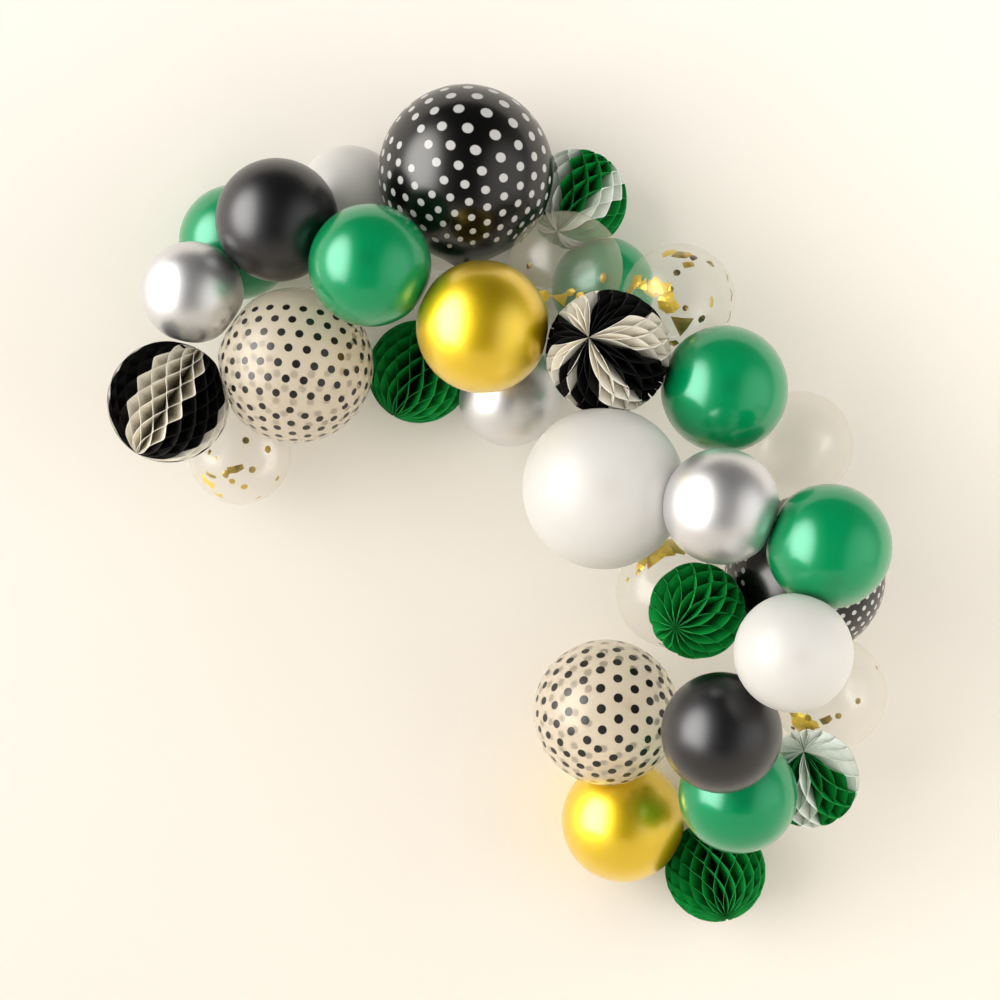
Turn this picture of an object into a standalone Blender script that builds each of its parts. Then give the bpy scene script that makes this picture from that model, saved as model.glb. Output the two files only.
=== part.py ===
"""Balloon garland: latex balloons and tissue honeycomb balls on a clear decorating strip.

Frame: +X across the wall, +Y into the wall, +Z up. The origin is on the flat back of the
strip, at the top of the arch. All sizes are in metres.

Every balloon and ball is one closed solid about its own centre. Where two of them press on
each other, both are flattened on the plane between them, as soft things are, with a hair of
air left between. The same holds for the wall behind the garland.
"""

import math
from dataclasses import dataclass

import bmesh
import bpy
from mathutils import Vector

# Contact between pieces
CONTACT_GAP = 0.0003
WALL_CLEARANCE = 0.0025

# Latex balloon: a round body that runs on as a cone into a tied neck with a rolled lip
CONE_ANGLE = math.radians(32.0)
NECK_RADIUS = 0.0070
NECK_TO_KNOT = 0.009
KNOT_RADIUS = 0.0095
KNOT_TO_TAIL = 0.006
TAIL_RADIUS = 0.0060
TAIL_TO_LIP = 0.014
LIP_RADIUS = 0.0100
BODY_RINGS = 7
BODY_SIDES = 12
LARGE_BODY_SIDES = 16
LARGE_DIAMETER = 0.30

# Honeycomb ball: a lattice of shallow pits between the glued edges of its tissue sheets
COMB_COLUMNS = 24
COMB_ROWS = 9
COMB_PIT_DEPTH = 0.006
COMB_POLE_DEPTH = 0.008

# Decorating strip: flat clear tape that lies on the wall along the arch
STRIP_WIDTH = 0.014
STRIP_THICKNESS = 0.0012
STRIP_STEPS_PER_SPAN = 4
STRIP_END_SEGMENTS = 4
STRIP_ROUTE = (
    (-0.420, -0.315),
    (-0.325, -0.130),
    (-0.170, -0.030),
    (0.000, 0.000),
    (0.190, -0.012),
    (0.385, -0.065),
    (0.545, -0.165),
    (0.655, -0.315),
    (0.725, -0.500),
    (0.755, -0.700),
    (0.740, -0.910),
    (0.690, -1.090),
    (0.630, -1.240),
)


@dataclass(frozen=True)
class Finish:
    """A material: its base colour, how rough it is and whether it is a metal."""

    name: str
    colour: tuple
    roughness: float
    metallic: float = 0.0
    alpha: float = 1.0


PEARL_GREEN = Finish("pearl_green", (0.010, 0.300, 0.100), 0.25)
PEARL_WHITE = Finish("pearl_white", (0.780, 0.740, 0.660), 0.30)
PEARL_BLACK = Finish("pearl_black", (0.012, 0.011, 0.014), 0.25)
DOTTED_BLACK = Finish("dotted_black", (0.010, 0.010, 0.011), 0.20)
DOTTED_CLEAR = Finish("dotted_clear", (0.800, 0.800, 0.780), 0.10, alpha=0.4)
CLEAR = Finish("clear_latex", (0.850, 0.850, 0.820), 0.10, alpha=0.3)
CONFETTI = Finish("confetti_latex", (0.850, 0.800, 0.650), 0.10, alpha=0.35)
SILVER = Finish("chrome_silver", (0.620, 0.620, 0.630), 0.15, metallic=1.0)
GOLD = Finish("chrome_gold", (0.620, 0.400, 0.120), 0.15, metallic=1.0)
TISSUE_GREEN = Finish("tissue_green", (0.010, 0.140, 0.050), 0.90)
TISSUE_MIXED = Finish("tissue_green_white", (0.250, 0.400, 0.280), 0.90)
TISSUE_CREAM = Finish("tissue_black_cream", (0.550, 0.480, 0.360), 0.90)
STRIP_PLASTIC = Finish("strip_plastic", (0.850, 0.860, 0.860), 0.20, alpha=0.45)


@dataclass(frozen=True)
class Piece:
    """One balloon or ball: where its centre stands, how wide it is and where its axis points.

    across, out and up are measured from the origin, out being away from the wall. axis points
    to a balloon's neck, or to the pole of a honeycomb ball that its sheets fan around, as
    (across, toward the wall, up).
    """

    name: str
    finish: Finish
    across: float
    out: float
    up: float
    diameter: float
    axis: tuple

    @property
    def radius(self):
        return self.diameter / 2

    @property
    def centre(self):
        return Vector((self.across, -self.out, self.up))


LATEX = (
    Piece("green_balloon_top_left", PEARL_GREEN, -0.335, 0.120, 0.050, 0.240, (-0.5, 0.6, 0.6)),
    Piece("black_balloon_top", PEARL_BLACK, -0.230, 0.325, 0.070, 0.245, (0.4, 0.8, -0.5)),
    Piece("silver_balloon_left", SILVER, -0.405, 0.280, -0.070, 0.205, (-0.1, 1.0, -0.2)),
    Piece("confetti_balloon_left", CONFETTI, -0.330, 0.110, -0.390, 0.215, (-0.5, 0.6, 0.6)),
    Piece("dotted_clear_balloon_left", DOTTED_CLEAR, -0.200, 0.250, -0.215, 0.315, (0.1, 0.84, 0.5)),
    Piece("white_balloon_behind", PEARL_WHITE, -0.100, 0.110, 0.145, 0.215, (0.0, 0.6, -0.8)),
    Piece("green_balloon_top", PEARL_GREEN, -0.040, 0.415, -0.030, 0.240, (0.0, 1.0, 0.0)),
    Piece("dotted_black_balloon_top", DOTTED_BLACK, 0.145, 0.250, 0.175, 0.355, (0.0, 0.35, -0.94)),
    Piece("gold_balloon_top", GOLD, 0.180, 0.415, -0.150, 0.260, (-0.1, 1.0, 0.2)),
    Piece("silver_balloon_middle", SILVER, 0.235, 0.150, -0.270, 0.215, (0.3, 0.9, 0.2)),
    Piece("clear_balloon_top", CLEAR, 0.345, 0.305, -0.025, 0.230, (-0.5, 0.8, -0.2)),
    Piece("green_balloon_behind", PEARL_GREEN, 0.430, 0.110, -0.045, 0.215, (0.0, 0.6, -0.8)),
    Piece("confetti_balloon_top_right", CONFETTI, 0.575, 0.260, -0.085, 0.230, (-0.15, 0.85, -0.5)),
    Piece("green_balloon_right_upper", PEARL_GREEN, 0.655, 0.385, -0.270, 0.250, (0.0, 1.0, 0.0)),
    Piece("white_balloon_large", PEARL_WHITE, 0.415, 0.450, -0.465, 0.315, (0.0, 1.0, 0.0)),
    Piece("silver_balloon_right", SILVER, 0.630, 0.575, -0.500, 0.220, (0.0, 1.0, 0.0)),
    Piece("clear_balloon_right", CLEAR, 0.835, 0.115, -0.375, 0.230, (-0.6, 0.6, -0.5)),
    Piece("green_balloon_right", PEARL_GREEN, 0.830, 0.590, -0.575, 0.235, (0.0, 0.85, 0.55)),
    Piece("dotted_black_balloon_right", DOTTED_BLACK, 0.825, 0.300, -0.640, 0.320, (0.5, 0.85, -0.2)),
    Piece("confetti_balloon_middle", CONFETTI, 0.570, 0.190, -0.675, 0.235, (0.0, 1.0, 0.0)),
    Piece("white_balloon_right", PEARL_WHITE, 0.755, 0.655, -0.770, 0.220, (0.0, 1.0, 0.0)),
    Piece("confetti_balloon_low_right", CONFETTI, 0.900, 0.120, -0.890, 0.240, (0.0, 0.6, -0.8)),
    Piece("dotted_clear_balloon_low", DOTTED_CLEAR, 0.430, 0.235, -0.920, 0.295, (0.3, 0.95, 0.0)),
    Piece("black_balloon_low", PEARL_BLACK, 0.635, 0.530, -0.930, 0.230, (-0.1, 1.0, 0.2)),
    Piece("gold_balloon_low", GOLD, 0.470, 0.130, -1.155, 0.255, (0.25, 0.65, -0.7)),
    Piece("green_balloon_low", PEARL_GREEN, 0.685, 0.355, -1.070, 0.235, (0.0, 1.0, 0.0)),
)

HONEYCOMBS = (
    Piece("honeycomb_left_end", TISSUE_CREAM, -0.455, 0.270, -0.290, 0.245, (-0.49, -0.15, -0.86)),
    Piece("honeycomb_green_left", TISSUE_GREEN, 0.045, 0.110, -0.220, 0.215, (-0.47, -0.21, -0.86)),
    Piece("honeycomb_top", TISSUE_MIXED, 0.375, 0.110, 0.140, 0.210, (-0.40, -0.58, -0.70)),
    Piece("honeycomb_pinwheel", TISSUE_CREAM, 0.425, 0.415, -0.200, 0.245, (-0.34, -0.92, 0.17)),
    Piece("honeycomb_green_right", TISSUE_GREEN, 0.600, 0.400, -0.705, 0.190, (-0.50, -0.81, -0.30)),
    Piece("honeycomb_low_right", TISSUE_MIXED, 0.845, 0.230, -1.055, 0.200, (-0.22, -0.74, 0.63)),
    Piece("honeycomb_green_bottom", TISSUE_GREEN, 0.665, 0.105, -1.265, 0.210, (0.15, -0.58, -0.80)),
)


def clear_file():
    """Remove every object the file starts with."""
    for thing in list(bpy.data.objects):
        bpy.data.objects.remove(thing, do_unlink=True)


def make_material(finish):
    """Return the finish's material, made once."""
    material = bpy.data.materials.get(finish.name)
    if material:
        return material
    material = bpy.data.materials.new(finish.name)
    material.use_nodes = True
    shader = material.node_tree.nodes["Principled BSDF"]
    shader.inputs["Base Color"].default_value = (*finish.colour, 1.0)
    shader.inputs["Roughness"].default_value = finish.roughness
    shader.inputs["Metallic"].default_value = finish.metallic
    shader.inputs["Alpha"].default_value = finish.alpha
    return material


def face_outward(mesh):
    """Turn all faces of a closed mesh outward."""
    form = bmesh.new()
    form.from_mesh(mesh)
    bmesh.ops.recalc_face_normals(form, faces=form.faces)
    form.to_mesh(mesh)
    form.free()


def add_object(name, vertices, faces, finish, location, sharp_angle):
    """Add one object; edges that bend by more than sharp_angle stay sharp."""
    mesh = bpy.data.meshes.new(name)
    mesh.from_pydata([tuple(v) for v in vertices], [], faces)
    face_outward(mesh)
    mesh.materials.append(make_material(finish))
    mesh.shade_smooth()
    mesh.set_sharp_from_angle(angle=sharp_angle)
    thing = bpy.data.objects.new(name, mesh)
    thing.location = location
    bpy.context.scene.collection.objects.link(thing)
    return thing


def contact_planes(piece):
    """Planes that bound a piece, as (direction from its centre, distance): the wall's and one
    for each other piece, where the two round bodies would meet."""
    planes = [(Vector((0.0, 1.0, 0.0)), piece.out - WALL_CLEARANCE)]
    for other in LATEX + HONEYCOMBS:
        if other is piece:
            continue
        offset = other.centre - piece.centre
        distance = offset.length
        meeting = (distance ** 2 + piece.radius ** 2 - other.radius ** 2) / (2 * distance)
        planes.append((offset / distance, meeting - CONTACT_GAP / 2))
    return planes


def pressed(point, planes):
    """Draw a point in towards the centre until it is inside every plane."""
    scale = 1.0
    for direction, distance in planes:
        reach = point.dot(direction)
        if reach * scale > distance:
            scale = distance / reach
    return point * scale


def axis_frame(axis):
    """Three unit vectors: the axis and two across it."""
    along = Vector(axis).normalized()
    guide = Vector((0.0, 0.0, 1.0)) if abs(along.z) < 0.9 else Vector((1.0, 0.0, 0.0))
    side = along.cross(guide).normalized()
    return along, side, along.cross(side)


def ring(frame, distance, radius, count):
    """Points of a ring about the axis, at a distance along it from the centre."""
    along, side, upright = frame
    points = []
    for i in range(count):
        turn = 2 * math.pi * i / count
        points.append(along * distance + (side * math.cos(turn) + upright * math.sin(turn)) * radius)
    return points


def body_profile(radius):
    """(distance, radius) of the rings from the crown to where the cone starts."""
    last = math.pi - CONE_ANGLE
    turns = [last * (i + 1) / BODY_RINGS for i in range(BODY_RINGS)]
    return [(-radius * math.cos(t), radius * math.sin(t)) for t in turns]


def neck_profile(radius):
    """(distance, radius) of the rings of the neck, the knot, the tail and the rolled lip."""
    start = (radius - NECK_RADIUS * math.sin(CONE_ANGLE)) / math.cos(CONE_ANGLE)
    knot = start + NECK_TO_KNOT
    tail = knot + KNOT_TO_TAIL
    return [
        (start, NECK_RADIUS),
        (knot, KNOT_RADIUS),
        (tail, TAIL_RADIUS),
        (tail + TAIL_TO_LIP, LIP_RADIUS),
    ]


def band(first, second, count):
    """Faces between two rings of as many points, given by their first indices."""
    faces = []
    for i in range(count):
        j = (i + 1) % count
        faces.append((first + i, first + j, second + j, second + i))
    return faces


def halving_band(first, second, count):
    """Faces from a ring of count points to one of half as many."""
    faces = []
    for i in range(count // 2):
        j = (i + 1) % (count // 2)
        left, middle, right = first + 2 * i, first + 2 * i + 1, first + (2 * i + 2) % count
        faces.append((left, middle, second + i))
        faces.append((middle, second + j, second + i))
        faces.append((middle, right, second + j))
    return faces


def make_balloon(piece):
    """A tied latex balloon, flattened where it presses on what is beside it."""
    sides = LARGE_BODY_SIDES if piece.diameter > LARGE_DIAMETER else BODY_SIDES
    frame = axis_frame(piece.axis)
    points = [frame[0] * -piece.radius]
    faces = []
    start = 1
    for distance, radius in body_profile(piece.radius):
        points += ring(frame, distance, radius, sides)
        if start == 1:
            faces += [(0, 1 + (i + 1) % sides, 1 + i) for i in range(sides)]
        else:
            faces += band(start - sides, start, sides)
        start += sides
    neck_sides = sides // 2
    before = start - sides
    for distance, radius in neck_profile(piece.radius):
        points += ring(frame, distance, radius, neck_sides)
        if before == start - sides:
            faces += halving_band(before, start, sides)
        else:
            faces += band(before, start, neck_sides)
        before = start
        start += neck_sides
    faces.append(tuple(before + i for i in range(neck_sides)))
    planes = contact_planes(piece)
    vertices = [pressed(point, planes) for point in points]
    return add_object(piece.name, vertices, faces, piece.finish, piece.centre, math.radians(50.0))


def make_honeycomb(piece):
    """A honeycomb ball: ridges where the sheets' edges run, pits between them."""
    frame = axis_frame(piece.axis)
    along, side, upright = frame
    points = [along * (piece.radius - COMB_POLE_DEPTH)]
    for row in range(1, COMB_ROWS + 1):
        tilt = math.pi * row / (COMB_ROWS + 1)
        for column in range(COMB_COLUMNS):
            turn = 2 * math.pi * column / COMB_COLUMNS
            depth = COMB_PIT_DEPTH if (row + column) % 2 else 0.0
            spoke = side * math.cos(turn) + upright * math.sin(turn)
            points.append((along * math.cos(tilt) + spoke * math.sin(tilt)) * (piece.radius - depth))
    points.append(along * (COMB_POLE_DEPTH - piece.radius))
    planes = contact_planes(piece)
    vertices = [pressed(point, planes) for point in points]
    faces = honeycomb_faces(len(points) - 1)
    return add_object(piece.name, vertices, faces, piece.finish, piece.centre, math.radians(5.0))


def honeycomb_faces(last):
    """Triangles of the lattice; each four-sided cell is split along its ridge."""
    faces = []
    bottom = 1 + (COMB_ROWS - 1) * COMB_COLUMNS
    for column in range(COMB_COLUMNS):
        beside = (column + 1) % COMB_COLUMNS
        faces.append((0, 1 + column, 1 + beside))
        faces.append((last, bottom + beside, bottom + column))
        for row in range(1, COMB_ROWS):
            here = 1 + (row - 1) * COMB_COLUMNS
            below = here + COMB_COLUMNS
            a, b = here + column, here + beside
            c, d = below + beside, below + column
            if (row + column) % 2:
                faces += [(a, d, b), (b, d, c)]
            else:
                faces += [(a, d, c), (a, c, b)]
    return faces


def strip_centreline():
    """Points along the strip, on a smooth curve through the route."""
    route = [Vector(p) for p in STRIP_ROUTE]
    route = [2 * route[0] - route[1], *route, 2 * route[-1] - route[-2]]
    points = []
    for i in range(1, len(route) - 2):
        before, start, end, after = route[i - 1:i + 3]
        for step in range(STRIP_STEPS_PER_SPAN):
            t = step / STRIP_STEPS_PER_SPAN
            bend = 2 * before - 5 * start + 4 * end - after
            twist = 3 * (start - end) + after - before
            points.append(start + ((end - before) * t + bend * t ** 2 + twist * t ** 3) / 2)
    points.append(route[-2])
    return points


def strip_outline():
    """The strip's outline on the wall as its two edges, the ends drawn in to a round."""
    line = strip_centreline()
    left, right = [], []
    for i, point in enumerate(line):
        run = (line[min(i + 1, len(line) - 1)] - line[max(i - 1, 0)]).normalized()
        across = Vector((-run.y, run.x)) * STRIP_WIDTH / 2
        left.append(point + across)
        right.append(point - across)
    return round_end(line, left, right)


def round_end(line, left, right):
    """Add half-round ends to the two edges of the strip."""
    for at_start in (True, False):
        end = line[0] if at_start else line[-1]
        inner = line[1] if at_start else line[-2]
        out = (end - inner).normalized() * STRIP_WIDTH / 2
        across = (left[0] if at_start else left[-1]) - end
        for i in range(1, STRIP_END_SEGMENTS):
            turn = math.pi / 2 * i / STRIP_END_SEGMENTS
            rim = end + out * math.sin(turn)
            spread = across * math.cos(turn)
            if at_start:
                left.insert(0, rim + spread)
                right.insert(0, rim - spread)
            else:
                left.append(rim + spread)
                right.append(rim - spread)
    return left, right


def make_strip():
    """The decorating strip: its back on the wall plane, its front facing the room."""
    left, right = strip_outline()
    count = len(left)
    vertices = []
    for depth in (0.0, -STRIP_THICKNESS):
        vertices += [(p.x, depth, p.y) for p in left]
        vertices += [(p.x, depth, p.y) for p in right]
    front = 2 * count
    faces = []
    for i in range(count - 1):
        a, b, c, d = i, i + 1, count + i + 1, count + i
        faces.append((a, b, c, d))
        faces.append((front + d, front + c, front + b, front + a))
        faces.append((front + a, front + b, b, a))
        faces.append((d, c, front + c, front + d))
    faces.append((0, count, front + count, front))
    faces.append((front - 1, count - 1, front + count - 1, 2 * front - 1))
    return add_object("decorating_strip", vertices, faces, STRIP_PLASTIC, (0, 0, 0), math.radians(30.0))


def main():
    """Build the garland."""
    clear_file()
    for piece in LATEX:
        make_balloon(piece)
    for piece in HONEYCOMBS:
        make_honeycomb(piece)
    make_strip()


if __name__ == "__main__":
    main()
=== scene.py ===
"""Looks of the balloon garland: latex balloons and tissue honeycomb balls on a wall.

Frame: +X across the wall, +Y into the wall, +Z up, in metres. The origin is on the back of the
decorating strip, at the top of the arch. Every balloon and ball stands where its solid stands,
and is pressed flat on the same planes as the solid.
"""

import logging
import math
from dataclasses import dataclass, field
from enum import Enum
from typing import Any, Iterable, NamedTuple, Sequence

import bmesh
import bpy
import numpy as np
from mathutils import Matrix, Vector

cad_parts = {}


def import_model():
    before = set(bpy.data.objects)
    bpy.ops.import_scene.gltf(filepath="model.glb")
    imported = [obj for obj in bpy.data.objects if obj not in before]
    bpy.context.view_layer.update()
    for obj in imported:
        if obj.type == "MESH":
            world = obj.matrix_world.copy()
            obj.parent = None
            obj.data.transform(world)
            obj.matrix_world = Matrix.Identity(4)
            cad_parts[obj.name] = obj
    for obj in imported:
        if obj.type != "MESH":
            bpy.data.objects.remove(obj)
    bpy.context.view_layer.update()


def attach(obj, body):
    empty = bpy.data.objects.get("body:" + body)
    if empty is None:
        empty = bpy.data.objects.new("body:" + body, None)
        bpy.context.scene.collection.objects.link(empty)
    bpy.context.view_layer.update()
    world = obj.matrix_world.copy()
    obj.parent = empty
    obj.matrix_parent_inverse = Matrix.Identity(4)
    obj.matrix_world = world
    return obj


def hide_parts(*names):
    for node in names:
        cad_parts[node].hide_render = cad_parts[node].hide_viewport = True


Colour = tuple[float, float, float]
Triple = tuple[float, float, float]
Face = tuple[int, ...]
Socket = bpy.types.NodeSocket
log = logging.getLogger("garland")

TINY = 1e-9
LAMP_WHITE = (1.0, 0.97, 0.93)

# Contact between soft pieces, in metres: the first two are the solids' own
WALL_CLEARANCE = 0.0025
CONTACT_GAP = 0.0003
CONTACT_ROUNDING = 0.010

# Neck of a balloon, as in the solids
CONE_ANGLE = math.radians(32.0)
NECK_RADIUS = 0.0070

# What the full height of a material's relief stands for, in metres
GRAIN_DEPTH = 0.0005
CREPE_DEPTH = 0.0006
CRINKLE_DEPTH = 0.002

# A Mix node's sockets for colours, which share their names with those for numbers
MIX_FACTOR, MIX_FIRST, MIX_SECOND, MIX_RESULT = 0, 6, 7, 2


class Slot(Enum):
    """The record's material slots, one for each finish of the garland."""

    PEARL_GREEN = "pearl_green"
    PEARL_WHITE = "pearl_white"
    PEARL_BLACK = "pearl_black"
    DOTTED_BLACK = "dotted_black"
    DOTTED_CLEAR = "dotted_clear"
    CLEAR = "clear_latex"
    CONFETTI = "confetti_latex"
    SILVER = "chrome_silver"
    GOLD = "chrome_gold"
    TISSUE_GREEN = "tissue_green"
    TISSUE_MIXED = "tissue_green_white"
    TISSUE_CREAM = "tissue_black_cream"
    STRIP = "strip_plastic"


class Tissue(Enum):
    """The colours that tissue sheets are cut from."""

    GREEN = "green"
    WHITE = "white"
    BLACK = "black"
    CREAM = "cream"


class FlakeShape(Enum):
    """How a piece of foil confetti is cut."""

    ROUND = "round"
    SHARD = "shard"
    WEDGE = "wedge"
    SLIVER = "sliver"


@dataclass(frozen=True)
class Placing:
    """Where one balloon or ball stands.

    across, out and up are measured from the origin, out being away from the wall. axis points
    to a balloon's neck, or to the pole of a honeycomb ball, as (across, toward the wall, up).
    """

    name: str
    slot: Slot
    across: float
    out: float
    up: float
    diameter: float
    axis: Triple

    @property
    def radius(self) -> float:
        """Radius of the round body."""
        return self.diameter / 2

    @property
    def centre(self) -> np.ndarray:
        """Centre of the round body in the frame."""
        return np.array((self.across, -self.out, self.up))


def unit(vector: Sequence[float]) -> np.ndarray:
    """Return the vector at length one."""
    array = np.array(vector, float)
    return array / np.linalg.norm(array)


def square_to(axis: np.ndarray, guide: Sequence[float]) -> np.ndarray:
    """Return the unit vector across the axis that is nearest to the guide.

    Args:
        axis: A unit vector.
        guide: The direction wanted, not along the axis.

    Returns:
        A unit vector at right angles to the axis.
    """
    wanted = np.array(guide, float)
    return unit(wanted - axis * wanted.dot(axis))


def smooth_step(value: np.ndarray, low: float, high: float) -> np.ndarray:
    """Rise smoothly from 0 at low to 1 at high."""
    share = np.clip((value - low) / (high - low), 0.0, 1.0)
    return share * share * (3 - 2 * share)


# The balloons, from the left end over the top to the lower end
LATEX_ROWS = (
    Placing("green_balloon_top_left", Slot.PEARL_GREEN, -0.335, 0.120, 0.050, 0.240, (-0.5, 0.6, 0.6)),
    Placing("black_balloon_top", Slot.PEARL_BLACK, -0.230, 0.325, 0.070, 0.245, (0.4, 0.8, -0.5)),
    Placing("silver_balloon_left", Slot.SILVER, -0.405, 0.280, -0.070, 0.205, (-0.1, 1.0, -0.2)),
    Placing("confetti_balloon_left", Slot.CONFETTI, -0.330, 0.110, -0.390, 0.215, (-0.5, 0.6, 0.6)),
    Placing("dotted_clear_balloon_left", Slot.DOTTED_CLEAR, -0.200, 0.250, -0.215, 0.315, (0.1, 0.84, 0.5)),
    Placing("white_balloon_behind", Slot.PEARL_WHITE, -0.100, 0.110, 0.145, 0.215, (0.0, 0.6, -0.8)),
    Placing("green_balloon_top", Slot.PEARL_GREEN, -0.040, 0.415, -0.030, 0.240, (0.0, 1.0, 0.0)),
    Placing("dotted_black_balloon_top", Slot.DOTTED_BLACK, 0.145, 0.250, 0.175, 0.355, (0.0, 0.35, -0.94)),
    Placing("gold_balloon_top", Slot.GOLD, 0.180, 0.415, -0.150, 0.260, (-0.1, 1.0, 0.2)),
    Placing("silver_balloon_middle", Slot.SILVER, 0.235, 0.150, -0.270, 0.215, (0.3, 0.9, 0.2)),
    Placing("clear_balloon_top", Slot.CLEAR, 0.345, 0.305, -0.025, 0.230, (-0.5, 0.8, -0.2)),
    Placing("green_balloon_behind", Slot.PEARL_GREEN, 0.430, 0.110, -0.045, 0.215, (0.0, 0.6, -0.8)),
    Placing("confetti_balloon_top_right", Slot.CONFETTI, 0.575, 0.260, -0.085, 0.230, (-0.15, 0.85, -0.5)),
    Placing("green_balloon_right_upper", Slot.PEARL_GREEN, 0.655, 0.385, -0.270, 0.250, (0.0, 1.0, 0.0)),
    Placing("white_balloon_large", Slot.PEARL_WHITE, 0.415, 0.450, -0.465, 0.315, (0.0, 1.0, 0.0)),
    Placing("silver_balloon_right", Slot.SILVER, 0.630, 0.575, -0.500, 0.220, (0.0, 1.0, 0.0)),
    Placing("clear_balloon_right", Slot.CLEAR, 0.835, 0.115, -0.375, 0.230, (-0.6, 0.6, -0.5)),
    Placing("green_balloon_right", Slot.PEARL_GREEN, 0.830, 0.590, -0.575, 0.235, (0.0, 0.85, 0.55)),
    Placing("dotted_black_balloon_right", Slot.DOTTED_BLACK, 0.825, 0.300, -0.640, 0.320, (0.5, 0.85, -0.2)),
    Placing("confetti_balloon_middle", Slot.CONFETTI, 0.570, 0.190, -0.675, 0.235, (0.0, 1.0, 0.0)),
    Placing("white_balloon_right", Slot.PEARL_WHITE, 0.755, 0.655, -0.770, 0.220, (0.0, 1.0, 0.0)),
    Placing("confetti_balloon_low_right", Slot.CONFETTI, 0.900, 0.120, -0.890, 0.240, (0.0, 0.6, -0.8)),
    Placing("dotted_clear_balloon_low", Slot.DOTTED_CLEAR, 0.430, 0.235, -0.920, 0.295, (0.3, 0.95, 0.0)),
    Placing("black_balloon_low", Slot.PEARL_BLACK, 0.635, 0.530, -0.930, 0.230, (-0.1, 1.0, 0.2)),
    Placing("gold_balloon_low", Slot.GOLD, 0.470, 0.130, -1.155, 0.255, (0.25, 0.65, -0.7)),
    Placing("green_balloon_low", Slot.PEARL_GREEN, 0.685, 0.355, -1.070, 0.235, (0.0, 1.0, 0.0)),
)

# The honeycomb balls, in the same order
TISSUE_ROWS = (
    Placing("honeycomb_left_end", Slot.TISSUE_CREAM, -0.455, 0.270, -0.290, 0.245, (-0.49, -0.15, -0.86)),
    Placing("honeycomb_green_left", Slot.TISSUE_GREEN, 0.045, 0.110, -0.220, 0.215, (-0.47, -0.21, -0.86)),
    Placing("honeycomb_top", Slot.TISSUE_MIXED, 0.375, 0.110, 0.140, 0.210, (-0.40, -0.58, -0.70)),
    Placing("honeycomb_pinwheel", Slot.TISSUE_CREAM, 0.425, 0.415, -0.200, 0.245, (-0.34, -0.92, 0.17)),
    Placing("honeycomb_green_right", Slot.TISSUE_GREEN, 0.600, 0.400, -0.705, 0.190, (-0.50, -0.81, -0.30)),
    Placing("honeycomb_low_right", Slot.TISSUE_MIXED, 0.845, 0.230, -1.055, 0.200, (-0.22, -0.74, 0.63)),
    Placing("honeycomb_green_bottom", Slot.TISSUE_GREEN, 0.665, 0.105, -1.265, 0.210, (0.15, -0.58, -0.80)),
)

# The middle of the strip, across and up, from its left end to its lower end
STRIP_ROUTE = (
    (-0.420, -0.315),
    (-0.325, -0.130),
    (-0.170, -0.030),
    (0.000, 0.000),
    (0.190, -0.012),
    (0.385, -0.065),
    (0.545, -0.165),
    (0.655, -0.315),
    (0.725, -0.500),
    (0.755, -0.700),
    (0.740, -0.910),
    (0.690, -1.090),
    (0.630, -1.240),
)


class Pressing:
    """The flats that a soft piece is pressed to: the wall's and those it shares with others.

    A point whose direction runs along a plane, its share towards the plane below grazing, isn't
    drawn in by it: its limit is then out_of_reach.
    """

    grazing = 1e-3
    out_of_reach = 9.0

    def __init__(self, placing: Placing, others: Iterable[Placing]) -> None:
        """Work out the planes round one piece.

        Args:
            placing: The piece.
            others: Every round piece of the garland.
        """
        directions = [np.array((0.0, 1.0, 0.0))]
        distances = [placing.out - WALL_CLEARANCE]
        for other in others:
            if other.name == placing.name:
                continue
            offset = other.centre - placing.centre
            span = float(np.linalg.norm(offset))
            meeting = (span**2 + placing.radius**2 - other.radius**2) / (2 * span)
            directions.append(offset / span)
            distances.append(meeting - CONTACT_GAP / 2)
        self.directions = np.array(directions)
        self.distances = np.array(distances)

    def press(self, points: np.ndarray, rounding: float = CONTACT_ROUNDING) -> np.ndarray:
        """Draw points in towards the centre until they are inside every plane.

        Args:
            points: Points about the piece's centre, in the frame's directions.
            rounding: How softly the skin turns into a flat, in metres.

        Returns:
            The pressed points.
        """
        lengths = np.maximum(np.linalg.norm(points, axis=1), TINY)
        reach = (points / lengths[:, None]) @ self.directions.T
        radii = lengths.copy()
        for column, distance in enumerate(self.distances):
            toward = reach[:, column]
            along_ray = distance / np.maximum(toward, self.grazing)
            limit = np.where(toward > self.grazing, along_ray, self.out_of_reach)
            nearness = np.maximum(rounding - np.abs(radii - limit), 0.0) / rounding
            radii = np.minimum(radii, limit) - nearness**2 * rounding / 4
        return points * (radii / lengths)[:, None]


def add_mesh(
    name: str,
    vertices: np.ndarray,
    faces: list[Face],
    matrix: Matrix,
    smooth: bool = True,
) -> bpy.types.Object:
    """Add a mesh object to the scene.

    Args:
        name: The object's name.
        vertices: Points in the object's own axes.
        faces: Corner numbers of each face.
        matrix: Where the object stands.
        smooth: Whether its faces are shaded smooth.

    Returns:
        The new object.
    """
    mesh = bpy.data.meshes.new(name)
    mesh.from_pydata(vertices.tolist(), [], faces)
    mesh.validate()
    if smooth:
        mesh.shade_smooth()
    thing = bpy.data.objects.new(name, mesh)
    thing.matrix_world = matrix
    bpy.context.scene.collection.objects.link(thing)
    return thing


def add_piece(
    placing: Placing,
    ending: str,
    vertices: np.ndarray,
    faces: list[Face],
    smooth: bool = True,
) -> bpy.types.Object:
    """Add one piece of the garland, whose vertices are about its centre.

    Args:
        placing: Where the piece stands.
        ending: What is added to the placing's name.
        vertices: Points about the centre, in the frame's directions.
        faces: Corner numbers of each face.
        smooth: Whether its faces are shaded smooth.

    Returns:
        The new object.
    """
    matrix = Matrix.Translation(Vector(placing.centre.tolist()))
    return add_mesh(placing.name + ending, vertices, faces, matrix, smooth)


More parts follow.
